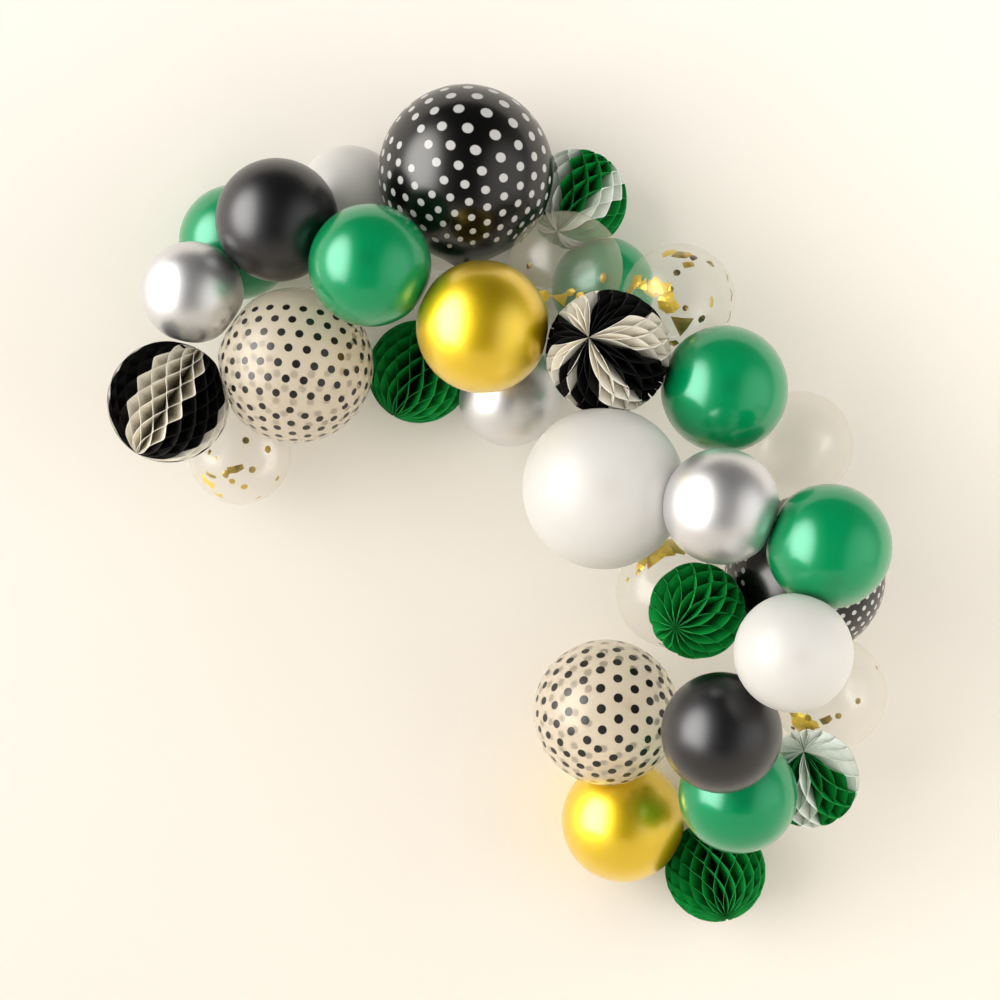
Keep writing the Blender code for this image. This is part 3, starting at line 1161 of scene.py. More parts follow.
@dataclass
class Balloon:
    """A tied latex balloon: a round body, a pleated neck, a knot, a tail and a rolled lip.

    Behind the pinched neck the tail hangs flat: wider one way and thinner the other.
    """

    placing: Placing
    pressing: Pressing
    sides: int = 80
    body_rings: int = 46
    cone_rings: int = 14
    knot_steps: int = 6
    tail_steps: int = 4
    lip_steps: int = 5
    crown_thickness: float = 0.35
    crown_reach: float = 0.16
    cone_gather: float = 1.35
    cone_hollow: float = 0.06
    pleats: int = 9
    pleat_start: float = 0.45
    pleat_depth: float = 0.20
    pleat_twist: float = 40.0
    pinch_radius: float = 0.0048
    neck_to_pinch: float = 0.0030
    neck_to_knot: float = 0.009
    knot_radius: float = 0.0095
    half_knot: float = 0.0048
    knot_to_tail: float = 0.0062
    tail_length: float = 0.014
    tail_flare: float = 1.4
    tail_widening: float = 0.25
    tail_thinning: float = 0.45
    flat_start: float = 0.013
    flat_end: float = 0.025
    lip_radius: float = 0.0100
    lip_roll: float = 0.0013
    mouth_depth: float = 0.004
    mouth_width: float = 0.6
    throat_depth: float = 0.001
    throat_width: float = 0.5

    def profile(self) -> list[Ring]:
        """Lay out the rings from the crown to the mouth.

        Returns:
            The rings.
        """
        radius = self.placing.radius
        last = math.pi - CONE_ANGLE
        rings = []
        for step in range(1, self.body_rings + 1):
            turn = last * step / self.body_rings
            crown = self.crown_thickness * math.exp(-((turn / self.crown_reach) ** 2))
            rings.append(Ring(-radius * math.cos(turn), radius * math.sin(turn), crown, 0.0))
        rings += self.cone_profile(radius)
        knot = rings[-1].distance + self.neck_to_knot
        rings += self.knot_profile(rings[-1].distance, knot)
        rings += self.tail_profile(knot + self.knot_to_tail)
        return rings

    def cone_profile(self, radius: float) -> list[Ring]:
        """Lay out the cone that runs from the round body into the neck.

        Args:
            radius: The round body's radius.

        Returns:
            The cone's rings.
        """
        start = radius * math.cos(CONE_ANGLE)
        width = radius * math.sin(CONE_ANGLE)
        end = (radius - NECK_RADIUS * math.sin(CONE_ANGLE)) / math.cos(CONE_ANGLE)
        rings = []
        for step in range(1, self.cone_rings + 1):
            share = 1 - (1 - step / self.cone_rings) ** self.cone_gather
            hollow = self.cone_hollow * radius * math.sin(math.pi * share) * share
            slope = width + (NECK_RADIUS - width) * share - hollow
            gathered = max(share - self.pleat_start, 0.0) / (1 - self.pleat_start)
            rings.append(Ring(
                distance=start + (end - start) * share,
                radius=max(slope, NECK_RADIUS),
                thickness=0.95 * share**2,
                pleats=self.pleat_depth * gathered,
            ))
        return rings

    def knot_profile(self, start: float, knot: float) -> list[Ring]:
        """Lay out the pinched neck and the knot.

        Args:
            start: Where the cone ends, along the axis.
            knot: Where the knot's middle is, along the axis.

        Returns:
            The knot's rings.
        """
        pinch = self.pinch_radius
        rings = [Ring(start + self.neck_to_pinch, pinch, thickness=1.0, pleats=0.15)]
        for step in range(self.knot_steps + 1):
            swing = math.pi * step / self.knot_steps
            bulge = pinch + (self.knot_radius - pinch) * math.sin(swing)
            place = knot - self.half_knot * math.cos(swing)
            rings.append(Ring(place, bulge, thickness=1.0, pleats=0.06))
        return rings

    def tail_profile(self, tail: float) -> list[Ring]:
        """Lay out the tail and the rolled lip, down to the closed mouth inside.

        Args:
            tail: Where the tail starts, along the axis.

        Returns:
            The tail's rings.
        """
        pinch = self.pinch_radius
        rings = []
        for step in range(self.tail_steps + 1):
            share = step / self.tail_steps
            flare = pinch + (self.lip_radius - self.lip_roll - pinch) * share**self.tail_flare
            place = tail + self.tail_length * share
            rings.append(Ring(place, flare, thickness=0.95, pleats=0.16))
        mouth = tail + self.tail_length
        for step in range(self.lip_steps + 1):
            swing = math.pi * (step - 1) / self.lip_steps
            roll = self.lip_radius + self.lip_roll * math.cos(swing)
            place = mouth + self.lip_roll * math.sin(swing)
            rings.append(Ring(place, roll, thickness=1.0, pleats=0.08))
        mouth_radius = self.lip_radius * self.mouth_width
        rings.append(Ring(mouth - self.mouth_depth, mouth_radius, thickness=1.0, pleats=0.08))
        throat_radius = pinch * self.throat_width
        rings.append(Ring(tail + self.throat_depth, throat_radius, thickness=1.0, pleats=0.0))
        return rings

    def axes(self) -> np.ndarray:
        """Choose the balloon's own axes.

        Returns:
            X as near to up as it can be, Y across it, and Z from the neck to the crown, as rows.
        """
        crown = -unit(self.placing.axis)
        front = square_to(crown, (0.0, 0.0, 1.0))
        return np.stack([front, np.cross(crown, front), crown])

    def flattening(self, behind: float) -> tuple[float, float]:
        """Return how much wider and how much thinner a ring is, so far behind the pinch."""
        share = float(smooth_step(np.array(behind), self.flat_start, self.flat_end))
        return 1.0 + self.tail_widening * share, 1.0 - self.tail_thinning * share

    def shaped(self) -> np.ndarray:
        """Blow the balloon up, before it is pressed on its neighbours.

        Returns:
            Its vertices about its centre.
        """
        rings = self.profile()
        pinch = rings[self.body_rings + self.cone_rings]
        turns = 2 * math.pi * np.arange(self.sides) / self.sides
        points = [np.array([[0.0, 0.0, self.placing.radius]])]
        for ring in rings:
            wide, flat = self.flattening(ring.distance - pinch.distance)
            folds = np.cos(self.pleats * turns + self.pleat_twist * ring.distance)
            ruffle = ring.radius * (1 + ring.pleats * folds)
            points.append(np.stack([
                ruffle * wide * np.cos(turns),
                ruffle * flat * np.sin(turns),
                np.full(self.sides, -ring.distance),
            ], axis=1))
        points.append(np.array([[0.0, 0.0, -rings[-1].distance]]))
        return np.concatenate(points) @ self.axes()

    def build(self) -> bpy.types.Object:
        """Make the balloon's mesh in place and store how thick its latex is.

        Returns:
            The balloon's object.
        """
        rings = self.profile()
        pressed = self.pressing.press(self.shaped())
        thing = add_piece(self.placing, "_latex", pressed, self.faces(len(rings)))
        around = [np.full(self.sides, ring.thickness) for ring in rings]
        crown, mouth = np.array([self.crown_thickness]), np.array([1.0])
        set_point_values(thing.data, "thickness", np.concatenate([crown, *around, mouth]))
        return thing

    def faces(self, rings: int) -> list[Face]:
        """Skin the rings, with a fan at each end.

        Args:
            rings: How many rings there are.

        Returns:
            The faces.
        """
        sides = self.sides
        faces: list[Face] = [(0, 1 + i, 1 + (i + 1) % sides) for i in range(sides)]
        for ring in range(rings - 1):
            here = 1 + ring * sides
            below = here + sides
            for i in range(sides):
                j = (i + 1) % sides
                faces.append((here + i, below + i, below + j, here + j))
        last = 1 + (rings - 1) * sides
        end = last + sides
        faces += [(last + (i + 1) % sides, last + i, end) for i in range(sides)]
        return faces

    def corner_directions(self) -> np.ndarray:
        """Return the direction of every vertex from the balloon's centre, before pressing."""
        points = self.shaped()
        return points / np.linalg.norm(points, axis=1)[:, None]


@dataclass(frozen=True)
class PrintFace:
    """One screen of dots, laid on the round body about a middle and stretched with it.

    column is the way the print's columns run at the middle. The dots that are printed are those
    within half_width and half_height of the middle, in radians of the body. scale enlarges the
    print, and swell is how much larger still it is at its middle.
    """

    middle: Triple
    column: Triple
    half_width: float
    half_height: float
    scale: float = 1.0
    swell: float = 0.0
    swell_reach: float = 0.55
    law_steps: int = 180

    def law(self) -> tuple[np.ndarray, np.ndarray]:
        """Add up how the print is stretched, from its middle to the far side of the body.

        Returns:
            Angles from the middle, and the distances on the flat print that they stand for.
        """
        angles = np.linspace(0.0, math.pi, self.law_steps + 1)
        stretch = self.scale * (1 + self.swell * np.exp(-((angles / self.swell_reach) ** 2)))
        steps = np.diff(angles) * (1 / stretch[1:] + 1 / stretch[:-1]) / 2
        return angles, np.concatenate([[0.0], np.cumsum(steps)])

    def basis(self) -> np.ndarray:
        """Choose the face's own axes.

        Returns:
            Right, up and middle, as rows.
        """
        middle = unit(self.middle)
        up = square_to(middle, self.column)
        return np.stack([np.cross(up, middle), up, middle])

    def unroll(self, directions: np.ndarray) -> tuple[np.ndarray, np.ndarray]:
        """Lay directions out flat.

        Args:
            directions: Unit vectors from the balloon's centre.

        Returns:
            Their angles right and up of the middle, and their places on the flat print.
        """
        local = directions @ self.basis().T
        angle = np.arccos(np.clip(local[:, 2], -1.0, 1.0))
        heading = local[:, :2] / np.maximum(np.linalg.norm(local[:, :2], axis=1), TINY)[:, None]
        flat = np.interp(angle, *self.law())
        return heading * angle[:, None], heading * flat[:, None]

    def roll_up(self, places: np.ndarray) -> np.ndarray:
        """Lay flat places back on the round body.

        Args:
            places: Places on the flat print.

        Returns:
            The directions that they stand for, as unit vectors.
        """
        angles, flats = self.law()
        distance = np.linalg.norm(places, axis=1)
        angle = np.interp(distance, flats, angles)
        heading = places / np.maximum(distance, TINY)[:, None]
        local = np.concatenate([heading * np.sin(angle)[:, None], np.cos(angle)[:, None]], axis=1)
        return local @ self.basis()

    def covers(self, directions: np.ndarray, margin: float) -> np.ndarray:
        """Tell which directions are within the face.

        Args:
            directions: Unit vectors from the balloon's centre.
            margin: How much wider and higher the face is taken to be all round, in radians.

        Returns:
            True for each direction that is.
        """
        spread, _ = self.unroll(directions)
        wide = np.abs(spread[:, 0]) < self.half_width + margin
        return wide & (np.abs(spread[:, 1]) < self.half_height + margin)


@dataclass(frozen=True)
class DotScreens:
    """The screens of dots round one balloon; an earlier one is kept clear by the later ones.

    No dot is printed within bare_neck of the neck, in radians.
    """

    across: float
    along: float
    faces: tuple[PrintFace, ...]
    margin: float = 0.10
    bare_neck: float = 0.55

    def nearest_dot(self, places: np.ndarray) -> np.ndarray:
        """Find the dot nearest to each place on the flat print.

        Args:
            places: Places on the flat print.

        Returns:
            The middles of the dots.
        """
        pitch = np.array([self.across, self.along])
        plain = np.round(places / pitch) * pitch
        between = (np.floor(places / pitch) + 0.5) * pitch
        nearer = np.linalg.norm(places - plain, axis=1) < np.linalg.norm(places - between, axis=1)
        return np.where(nearer[:, None], plain, between)

    def lay(self, balloon: Balloon, thing: bpy.types.Object) -> None:
        """Map every face of a balloon to the screen that prints it, or to a bare place.

        Args:
            balloon: The balloon.
            thing: Its object, which is given a UV map.
        """
        mesh = thing.data
        directions = balloon.corner_directions()
        loops = loop_vertices(mesh)
        sizes = np.zeros(len(mesh.polygons), dtype=np.int32)
        mesh.polygons.foreach_get("loop_total", sizes)
        owner_of_loop = np.repeat(np.arange(len(sizes)), sizes)
        sums = np.zeros((len(sizes), 3))
        np.add.at(sums, owner_of_loop, directions[loops])
        middles = sums / np.linalg.norm(sums, axis=1)[:, None]
        bare = np.array([self.across, self.along]) / 4
        places = np.tile(bare, (len(loops), 1))
        free = np.ones(len(sizes), dtype=bool)
        clear_of_neck = math.cos(self.bare_neck)
        neck = unit(balloon.placing.axis)
        for number, face in enumerate(self.faces):
            stands = face.roll_up(self.nearest_dot(face.unroll(middles)[1]))
            printed = free & face.covers(stands, 0.0) & (stands @ neck < clear_of_neck)
            for earlier in self.faces[:number]:
                printed &= ~earlier.covers(stands, self.margin)
            free &= ~printed
            chosen = printed[owner_of_loop]
            places[chosen] = face.unroll(directions[loops[chosen]])[1]
        set_flat_layout(mesh, "print_face", places)


@dataclass(frozen=True)
class Flake:
    """One piece of foil inside a clear balloon, seen from the room.

    right and up are its place in radii from the balloon's middle, size its length in metres,
    turn its angle in degrees, tone its painted light from 0, painted in shade, to 1, painted as
    catching the light, and near tells whether it clings to the side nearer the room. narrow is
    the width of a shard or a sliver, as a share of its length.
    """

    right: float
    up: float
    size: float
    shape: FlakeShape = FlakeShape.ROUND
    turn: float = 0.0
    tone: float = 0.2
    near: bool = True
    narrow: float = 0.6


# Corners of cut foil at length one: a wedge's as they are, the others' in half widths across
WEDGE_CORNERS = (
    (-0.5, -0.35), (0.0, -0.42), (0.5, -0.45), (0.25, 0.0), (0.05, 0.45), (-0.2, 0.05)
)
SLIVER_CORNERS = ((-0.5, -1.0), (0.0, -1.2), (0.5, -0.7), (0.5, 0.8), (0.0, 1.0), (-0.5, 1.0))
SHARD_CORNERS = (
    (-0.5, -1.0), (0.05, -1.3), (0.5, -0.5), (0.38, 1.0), (-0.1, 1.25), (-0.42, 0.6)
)


@dataclass
class FoilConfetti:
    """The foil sealed in one clear balloon, clinging to the inside of its skin.

    Each flake has a ring of corners part of the way out, crease_ring of its size, and is bent
    inward by its crease, which runs askew, and by its cupping. One that lies further than
    side_on to the side, in radii, is turned from the room's direction instead of from X.
    """

    placing: Placing
    pressing: Pressing
    flakes: Sequence[Flake]
    clearance: float = 0.0016
    round_corners: int = 14
    farthest: float = 0.985
    side_on: float = 0.9
    crease_ring: float = 0.55
    crease: float = 0.10
    crease_slant: float = 0.3
    cupping: float = 0.16

    def outline(self, flake: Flake) -> list[tuple[float, float]]:
        """List the corners of a flake about its middle, at length one.

        Args:
            flake: The flake.

        Returns:
            Its corners, counter-clockwise.
        """
        if flake.shape is FlakeShape.ROUND:
            turns = [2 * math.pi * i / self.round_corners for i in range(self.round_corners)]
            return [(0.5 * math.cos(turn), 0.5 * math.sin(turn)) for turn in turns]
        if flake.shape is FlakeShape.WEDGE:
            return list(WEDGE_CORNERS)
        half = flake.narrow / 2
        sliver = flake.shape is FlakeShape.SLIVER
        return [(x, y * half) for x, y in (SLIVER_CORNERS if sliver else SHARD_CORNERS)]

    def place(self, flake: Flake) -> tuple[np.ndarray, np.ndarray, np.ndarray]:
        """Find where a flake clings.

        Args:
            flake: The flake.

        Returns:
            Its direction from the balloon's middle, and the directions of its length and width.
        """
        distance = math.hypot(flake.right, flake.up)
        spread = min(distance, self.farthest)
        scale = spread / max(distance, TINY)
        depth = math.sqrt(1 - spread**2) * (-1 if flake.near else 1)
        outward = unit((flake.right * scale, depth, flake.up * scale))
        guide = (1.0, 0.0, 0.0) if abs(outward[0]) < self.side_on else (0.0, -1.0, 0.0)
        first = square_to(outward, guide)
        second = np.cross(outward, first)
        if second[2] < 0:
            second = -second
        angle = math.radians(flake.turn)
        return (
            outward,
            first * math.cos(angle) + second * math.sin(angle),
            second * math.cos(angle) - first * math.sin(angle),
        )

    def bent(self, flake: Flake) -> list[np.ndarray]:
        """Bend a flake to the inside of the round body.

        Args:
            flake: The flake.

        Returns:
            Its points about the balloon's centre: its middle, its crease ring and its corners.
        """
        inside = self.placing.radius - self.clearance
        outward, first, second = self.place(flake)
        corners = self.outline(flake)
        ring = [(x * self.crease_ring, y * self.crease_ring) for x, y in corners]
        points = []
        for x, y in [(0.0, 0.0), *ring, *corners]:
            fold = self.crease * abs(x + self.crease_slant * y)
            inward = fold + self.cupping * (x * x + y * y)
            lean = outward * inside + (first * x + second * y) * flake.size
            points.append(unit(lean) * (inside - inward * flake.size))
        return points

    def build(self) -> bpy.types.Object:
        """Make all the flakes of the balloon as one mesh.

        Returns:
            The foil's object.
        """
        points: list[np.ndarray] = []
        faces: list[Face] = []
        tones: list[float] = []
        for flake in self.flakes:
            start = len(points)
            points += self.bent(flake)
            tones += [flake.tone] * (len(points) - start)
            faces += self.flake_faces(start, (len(points) - start - 1) // 2)
        pressed = self.pressing.press(np.array(points))
        lengths = np.linalg.norm(pressed, axis=1)
        pressed *= ((lengths - self.clearance) / lengths)[:, None]
        thing = add_piece(self.placing, "_foil", pressed, faces, smooth=False)
        # The tone stored is each flake's painted light
        set_point_values(thing.data, "tone", np.array(tones))
        return thing

    @staticmethod
    def flake_faces(start: int, corners: int) -> list[Face]:
        """List a flake's faces.

        Args:
            start: The number of its middle point.
            corners: How many corners it has.

        Returns:
            The faces, round its middle and round its edge.
        """
        faces: list[Face] = []
        inner, outer = start + 1, start + 1 + corners
        for i in range(corners):
            j = (i + 1) % corners
            faces.append((start, inner + i, inner + j))
            faces.append((inner + i, outer + i, outer + j, inner + j))
        return faces


@dataclass(frozen=True)
class Comb:
    """How one honeycomb ball is made up.

    glue_pitch is the distance in metres between the glue lines that a sheet has on one side
    and on the other, by turns, and glue_start moves them all on, in pitches. turn is where the
    first sheet stands. It and the starts of the sectors are in degrees, clockwise from up as
    seen from the pole.
    """

    sheets: int
    glue_pitch: float
    glue_start: float = 0.0
    turn: float = 0.0
    sectors: tuple[tuple[float, Tissue], ...] = ((0.0, Tissue.GREEN),)
    glue_widening: float = 1.18

    def zigzag(self, height: np.ndarray) -> np.ndarray:
        """Swing an even sheet from one neighbour's glue line to the other's, along the axis.

        Args:
            height: Places along the axis.

        Returns:
            From -1 on the glue with one neighbour to 1 on the glue with the other.
        """
        phase = (height / self.glue_pitch + self.glue_start) % 2.0
        wave = 1.0 - 2.0 * np.abs(phase - 1.0)
        return np.clip(wave * self.glue_widening, -1.0, 1.0)

    def colour_at(self, degrees: float) -> Tissue:
        """Find what a sheet is cut from.

        Args:
            degrees: Its angle.

        Returns:
            Its tissue.
        """
        angle = degrees % 360.0
        found = self.sectors[-1][1]
        for start, tissue in self.sectors:
            if angle >= start:
                found = tissue
        return found


@dataclass
class HoneycombBall:
    """A ball of tissue half-discs that fan round an axis, glued along lines that alternate.

    stations are where each sheet's points are from the axis to its edge, as shares of its
    width. sway is how far a sheet strays, in steps from sheet to sheet, and edge_fold is how
    far its cut edge is folded to the side, in metres.
    """

    placing: Placing
    pressing: Pressing
    comb: Comb
    seed: int
    stations: tuple[float, ...] = (0.0, 0.45, 0.75, 0.92, 0.992, 1.0)
    samples: int = 108
    pole_gap: float = 0.02
    opening: float = 0.97
    sway: float = 0.05
    edge_fold: float = 0.0010
    fold_reach: float = 0.3
    tones: tuple[float, float] = (0.78, 0.96)
    rounding: float = 0.004

    def axes(self) -> np.ndarray:
        """Choose the ball's own axes.

        Returns:
            X right and Y up as seen from the pole, and Z towards the pole, as rows.
        """
        pole = unit(self.placing.axis)
        up = square_to(pole, (0.0, 0.0, 1.0))
        return np.stack([np.cross(up, pole), up, pole])

    def build(self, palette: Palette) -> bpy.types.Object:
        """Make all the sheets of the ball as one mesh.

        Args:
            palette: The materials.

        Returns:
            The ball's object.
        """
        chance = np.random.default_rng(self.seed)
        radius = self.placing.radius
        tilt = np.linspace(self.pole_gap, math.pi - self.pole_gap, self.samples)
        height, width = radius * np.cos(tilt), radius * np.sin(tilt)
        stations = np.array(self.stations)
        spokes = width[:, None] * stations[None, :]
        levels = np.repeat(height[:, None], len(stations), axis=1)
        flat = np.stack([spokes, levels], axis=2).reshape(-1, 2)
        fold = self.edge_fold * np.minimum(width / (self.fold_reach * radius), 1.0)
        step = 2 * math.pi / self.comb.sheets
        swing = self.comb.zigzag(height) * step / 2 * self.opening
        points, laid, tones, faces, colours = [], [], [], [], []
        for sheet in range(self.comb.sheets):
            bearing = math.radians(self.comb.turn) + sheet * step
            side = 1.0 if sheet % 2 == 0 else -1.0
            drift = chance.normal(0.0, self.sway) * step * np.sin(tilt * chance.uniform(1.0, 2.0))
            angle = bearing + side * swing + drift
            across, upward = np.sin(angle), np.cos(angle)
            fan = np.stack([spokes * across[:, None], spokes * upward[:, None], levels], axis=2)
            fan[:, -1, 0] += fold * upward
            fan[:, -1, 1] -= fold * across
            points.append(fan.reshape(-1, 3))
            laid.append(flat + chance.uniform(0.0, 1.0, 2))
            tones.append(np.full(len(flat), chance.uniform(*self.tones)))
            around = self.sheet_faces(sheet * len(flat))
            faces += around
            colours += [self.comb.colour_at(math.degrees(bearing))] * len(around)
        pressed = self.pressing.press(np.concatenate(points) @ self.axes(), self.rounding)
        thing = add_piece(self.placing, "_tissue", pressed, faces, smooth=False)
        reach = np.tile(stations, self.samples * self.comb.sheets)
        set_point_values(thing.data, "reach", reach)
        set_point_values(thing.data, "tone", np.concatenate(tones))
        corners = loop_vertices(thing.data)
        set_flat_layout(thing.data, "sheet", np.concatenate(laid)[corners])
        self.dress(thing, palette, colours)
        return thing

    def sheet_faces(self, start: int) -> list[Face]:
        """List the faces of one half-disc.

        Args:
            start: The number of its first vertex.

        Returns:
            The faces.
        """
        count = len(self.stations)
        faces: list[Face] = []
        for i in range(self.samples - 1):
            for j in range(count - 1):
                here = start + i * count + j
                faces.append((here, here + 1, here + count + 1, here + count))
        return faces

    def dress(self, thing: bpy.types.Object, palette: Palette, colours: Sequence[Tissue]) -> None:
        """Give each sheet its tissue.

        Args:
            thing: The ball's object.
            palette: The materials.
            colours: The tissue of each face.
        """
        used = sorted({colour.value for colour in colours})
        for value in used:
            palette.dress(thing, TISSUE[Tissue(value)])
        numbers = [used.index(colour.value) for colour in colours]
        thing.data.polygons.foreach_set("material_index", numbers)
        thing.data.update()


@dataclass
class DecoratingStrip:
    """The clear strip on the wall, pierced with a row of oval holes for the balloons' necks.

    It is left solid within solid_ends of its ends and solid_middle of the top of the arch. Its
    direction at a place is measured over probe to either side.
    """

    route: Sequence[tuple[float, float]] = STRIP_ROUTE
    width: float = 0.014
    thickness: float = 0.0012
    hole_pitch: float = 0.030
    hole_length: float = 0.012
    hole_width: float = 0.0055
    steps_per_span: int = 24
    arc_steps: int = 6
    solid_ends: float = 0.045
    solid_middle: float = 0.020
    solid_core: float = 0.5
    probe: float = 0.004
    weld: float = 0.00005

    def centreline(self) -> np.ndarray:
        """Draw a smooth curve through the strip's route.

        Returns:
            Points along the middle of the strip, across and up.
        """
        route = [np.array(place) for place in self.route]
        route = [2 * route[0] - route[1], *route, 2 * route[-1] - route[-2]]
        points = []
        for i in range(1, len(route) - 2):
            before, start, end, after = route[i - 1:i + 3]
            bend = 2 * before - 5 * start + 4 * end - after
            twist = 3 * (start - end) + after - before
            for step in range(self.steps_per_span):
                t = step / self.steps_per_span
                points.append(start + ((end - before) * t + bend * t**2 + twist * t**3) / 2)
        points.append(route[-2])
        return np.array(points)

    @staticmethod
    def lengths_along(line: np.ndarray) -> np.ndarray:
        """Return how far along a line each of its points is."""
        spans = np.linalg.norm(np.diff(line, axis=0), axis=1)
        return np.concatenate([[0.0], np.cumsum(spans)])

    def corner(self, line: np.ndarray, lengths: np.ndarray, along: float, side: float) -> Triple:
        """Place one corner of the strip on the wall.

        Args:
            line: The middle of the strip.
            lengths: How far along it each of its points is.
            along: How far along it the corner is.
            side: How far to its side the corner is.

        Returns:
            The corner in the frame.
        """
        lead = along + np.array([-self.probe, 0.0, self.probe])
        across = np.interp(lead, lengths, line[:, 0])
        up = np.interp(lead, lengths, line[:, 1])
        ahead = unit((across[2] - across[0], up[2] - up[0]))
        return across[1] - ahead[1] * side, 0.0, up[1] + ahead[0] * side

    def cell(
        self, centre: float, length: float, pierced: bool
    ) -> tuple[list[tuple[float, float]], list[Face]]:
        """Lay out one stretch of strip about a hole.

        Args:
            centre: Length along the strip to the stretch's middle.
            length: The stretch's own length.
            pierced: Whether the stretch has a hole.

        Returns:
            Its points, along and across, and the faces between them.
        """
        half, edge = length / 2, self.width / 2
        steps = [i / self.arc_steps for i in range(self.arc_steps)]
        outer = [(half - 2 * half * step, edge) for step in steps]
        outer += [(-half, edge - 2 * edge * step) for step in steps]
        outer += [(-half + 2 * half * step, -edge) for step in steps]
        outer += [(half, -edge + 2 * edge * step) for step in steps]
        reach = (1.0 if pierced else self.solid_core) / 2
        inner = []
        for x, y in outer:
            angle = math.atan2(y / edge, x / half)
            along = reach * self.hole_length * math.cos(angle)
            inner.append((along, reach * self.hole_width * math.sin(angle)))
        count = len(outer)
        faces = [(i, (i + 1) % count, count + (i + 1) % count, count + i) for i in range(count)]
        if not pierced:
            faces.append(tuple(count + i for i in range(count)))
        return [(centre + x, y) for x, y in outer + inner], faces

    def build(self) -> bpy.types.Object:
        """Make the strip: a pierced sheet with its thickness towards the room.

        Returns:
            The strip's object.
        """
        line = self.centreline()
        lengths = self.lengths_along(line)
        total = float(lengths[-1])
        crown = float(lengths[int(np.argmin(np.linalg.norm(line, axis=1)))])
        count = int(total // self.hole_pitch)
        pitch = total / count
        vertices: list[Triple] = []
        faces: list[Face] = []
        for number in range(count):
            centre = pitch * (number + 0.5)
            at_end = min(centre, total - centre) < self.solid_ends
            pierced = not at_end and abs(centre - crown) > self.solid_middle
            flat, around = self.cell(centre, pitch, pierced)
            start = len(vertices)
            vertices += [self.corner(line, lengths, along, side) for along, side in flat]
            faces += [tuple(start + c for c in face) for face in around]
        name = "decorating_strip_pierced"
        thing = add_mesh(name, np.array(vertices), faces, Matrix.Identity(4), smooth=False)
        self.thicken(thing)
        return thing

    def thicken(self, thing: bpy.types.Object) -> None:
        """Weld the stretches together and give the sheet its thickness.

        Args:
            thing: The strip's object.
        """
        form = bmesh.new()
        form.from_mesh(thing.data)
        bmesh.ops.remove_doubles(form, verts=form.verts, dist=self.weld)
        bmesh.ops.recalc_face_normals(form, faces=form.faces)
        if sum(face.normal.y for face in form.faces) > 0:
            bmesh.ops.reverse_faces(form, faces=form.faces)
        form.to_mesh(thing.data)
        form.free()
        solid = thing.modifiers.new("thickness", "SOLIDIFY")
        solid.thickness = self.thickness
        solid.offset = 1.0


class Ramp(NamedTuple):
    """A smooth change from one value at one place to another at another."""

    start: float
    end: float
    at_start: float
    at_end: float


@dataclass(frozen=True)
class Glow:
    """A bright part of the room, seen in the garland's gloss alone.

    It starts where the cosine of the angle from its middle is edge, and is even within core.
    """

    towards: Triple
    edge: float
    core: float
    level: float
    squash: float = 0.62

    def strength(self, graph: Graph) -> Socket:
        """Brighten the room softly about one direction, in a shape taller than it is wide.

        Args:
            graph: The world's graph.

        Returns:
            The glow's brightness.
        """
        way = graph.add("ShaderNodeTexCoord").outputs["Generated"]
        squashed = graph.add("ShaderNodeVectorMath", operation="MULTIPLY")
        levelled = graph.line_up(squashed, (way, (1.0, 1.0, self.squash)))
        ahead = graph.line_up(graph.add("ShaderNodeVectorMath", operation="NORMALIZE"), (levelled,))
        nearness = graph.add("ShaderNodeVectorMath", operation="DOT_PRODUCT")
        graph.line_up(nearness, (ahead, tuple(unit(self.towards))))
        return graph.ramp(nearness.outputs["Value"], self.edge, self.core, 0.0, self.level)


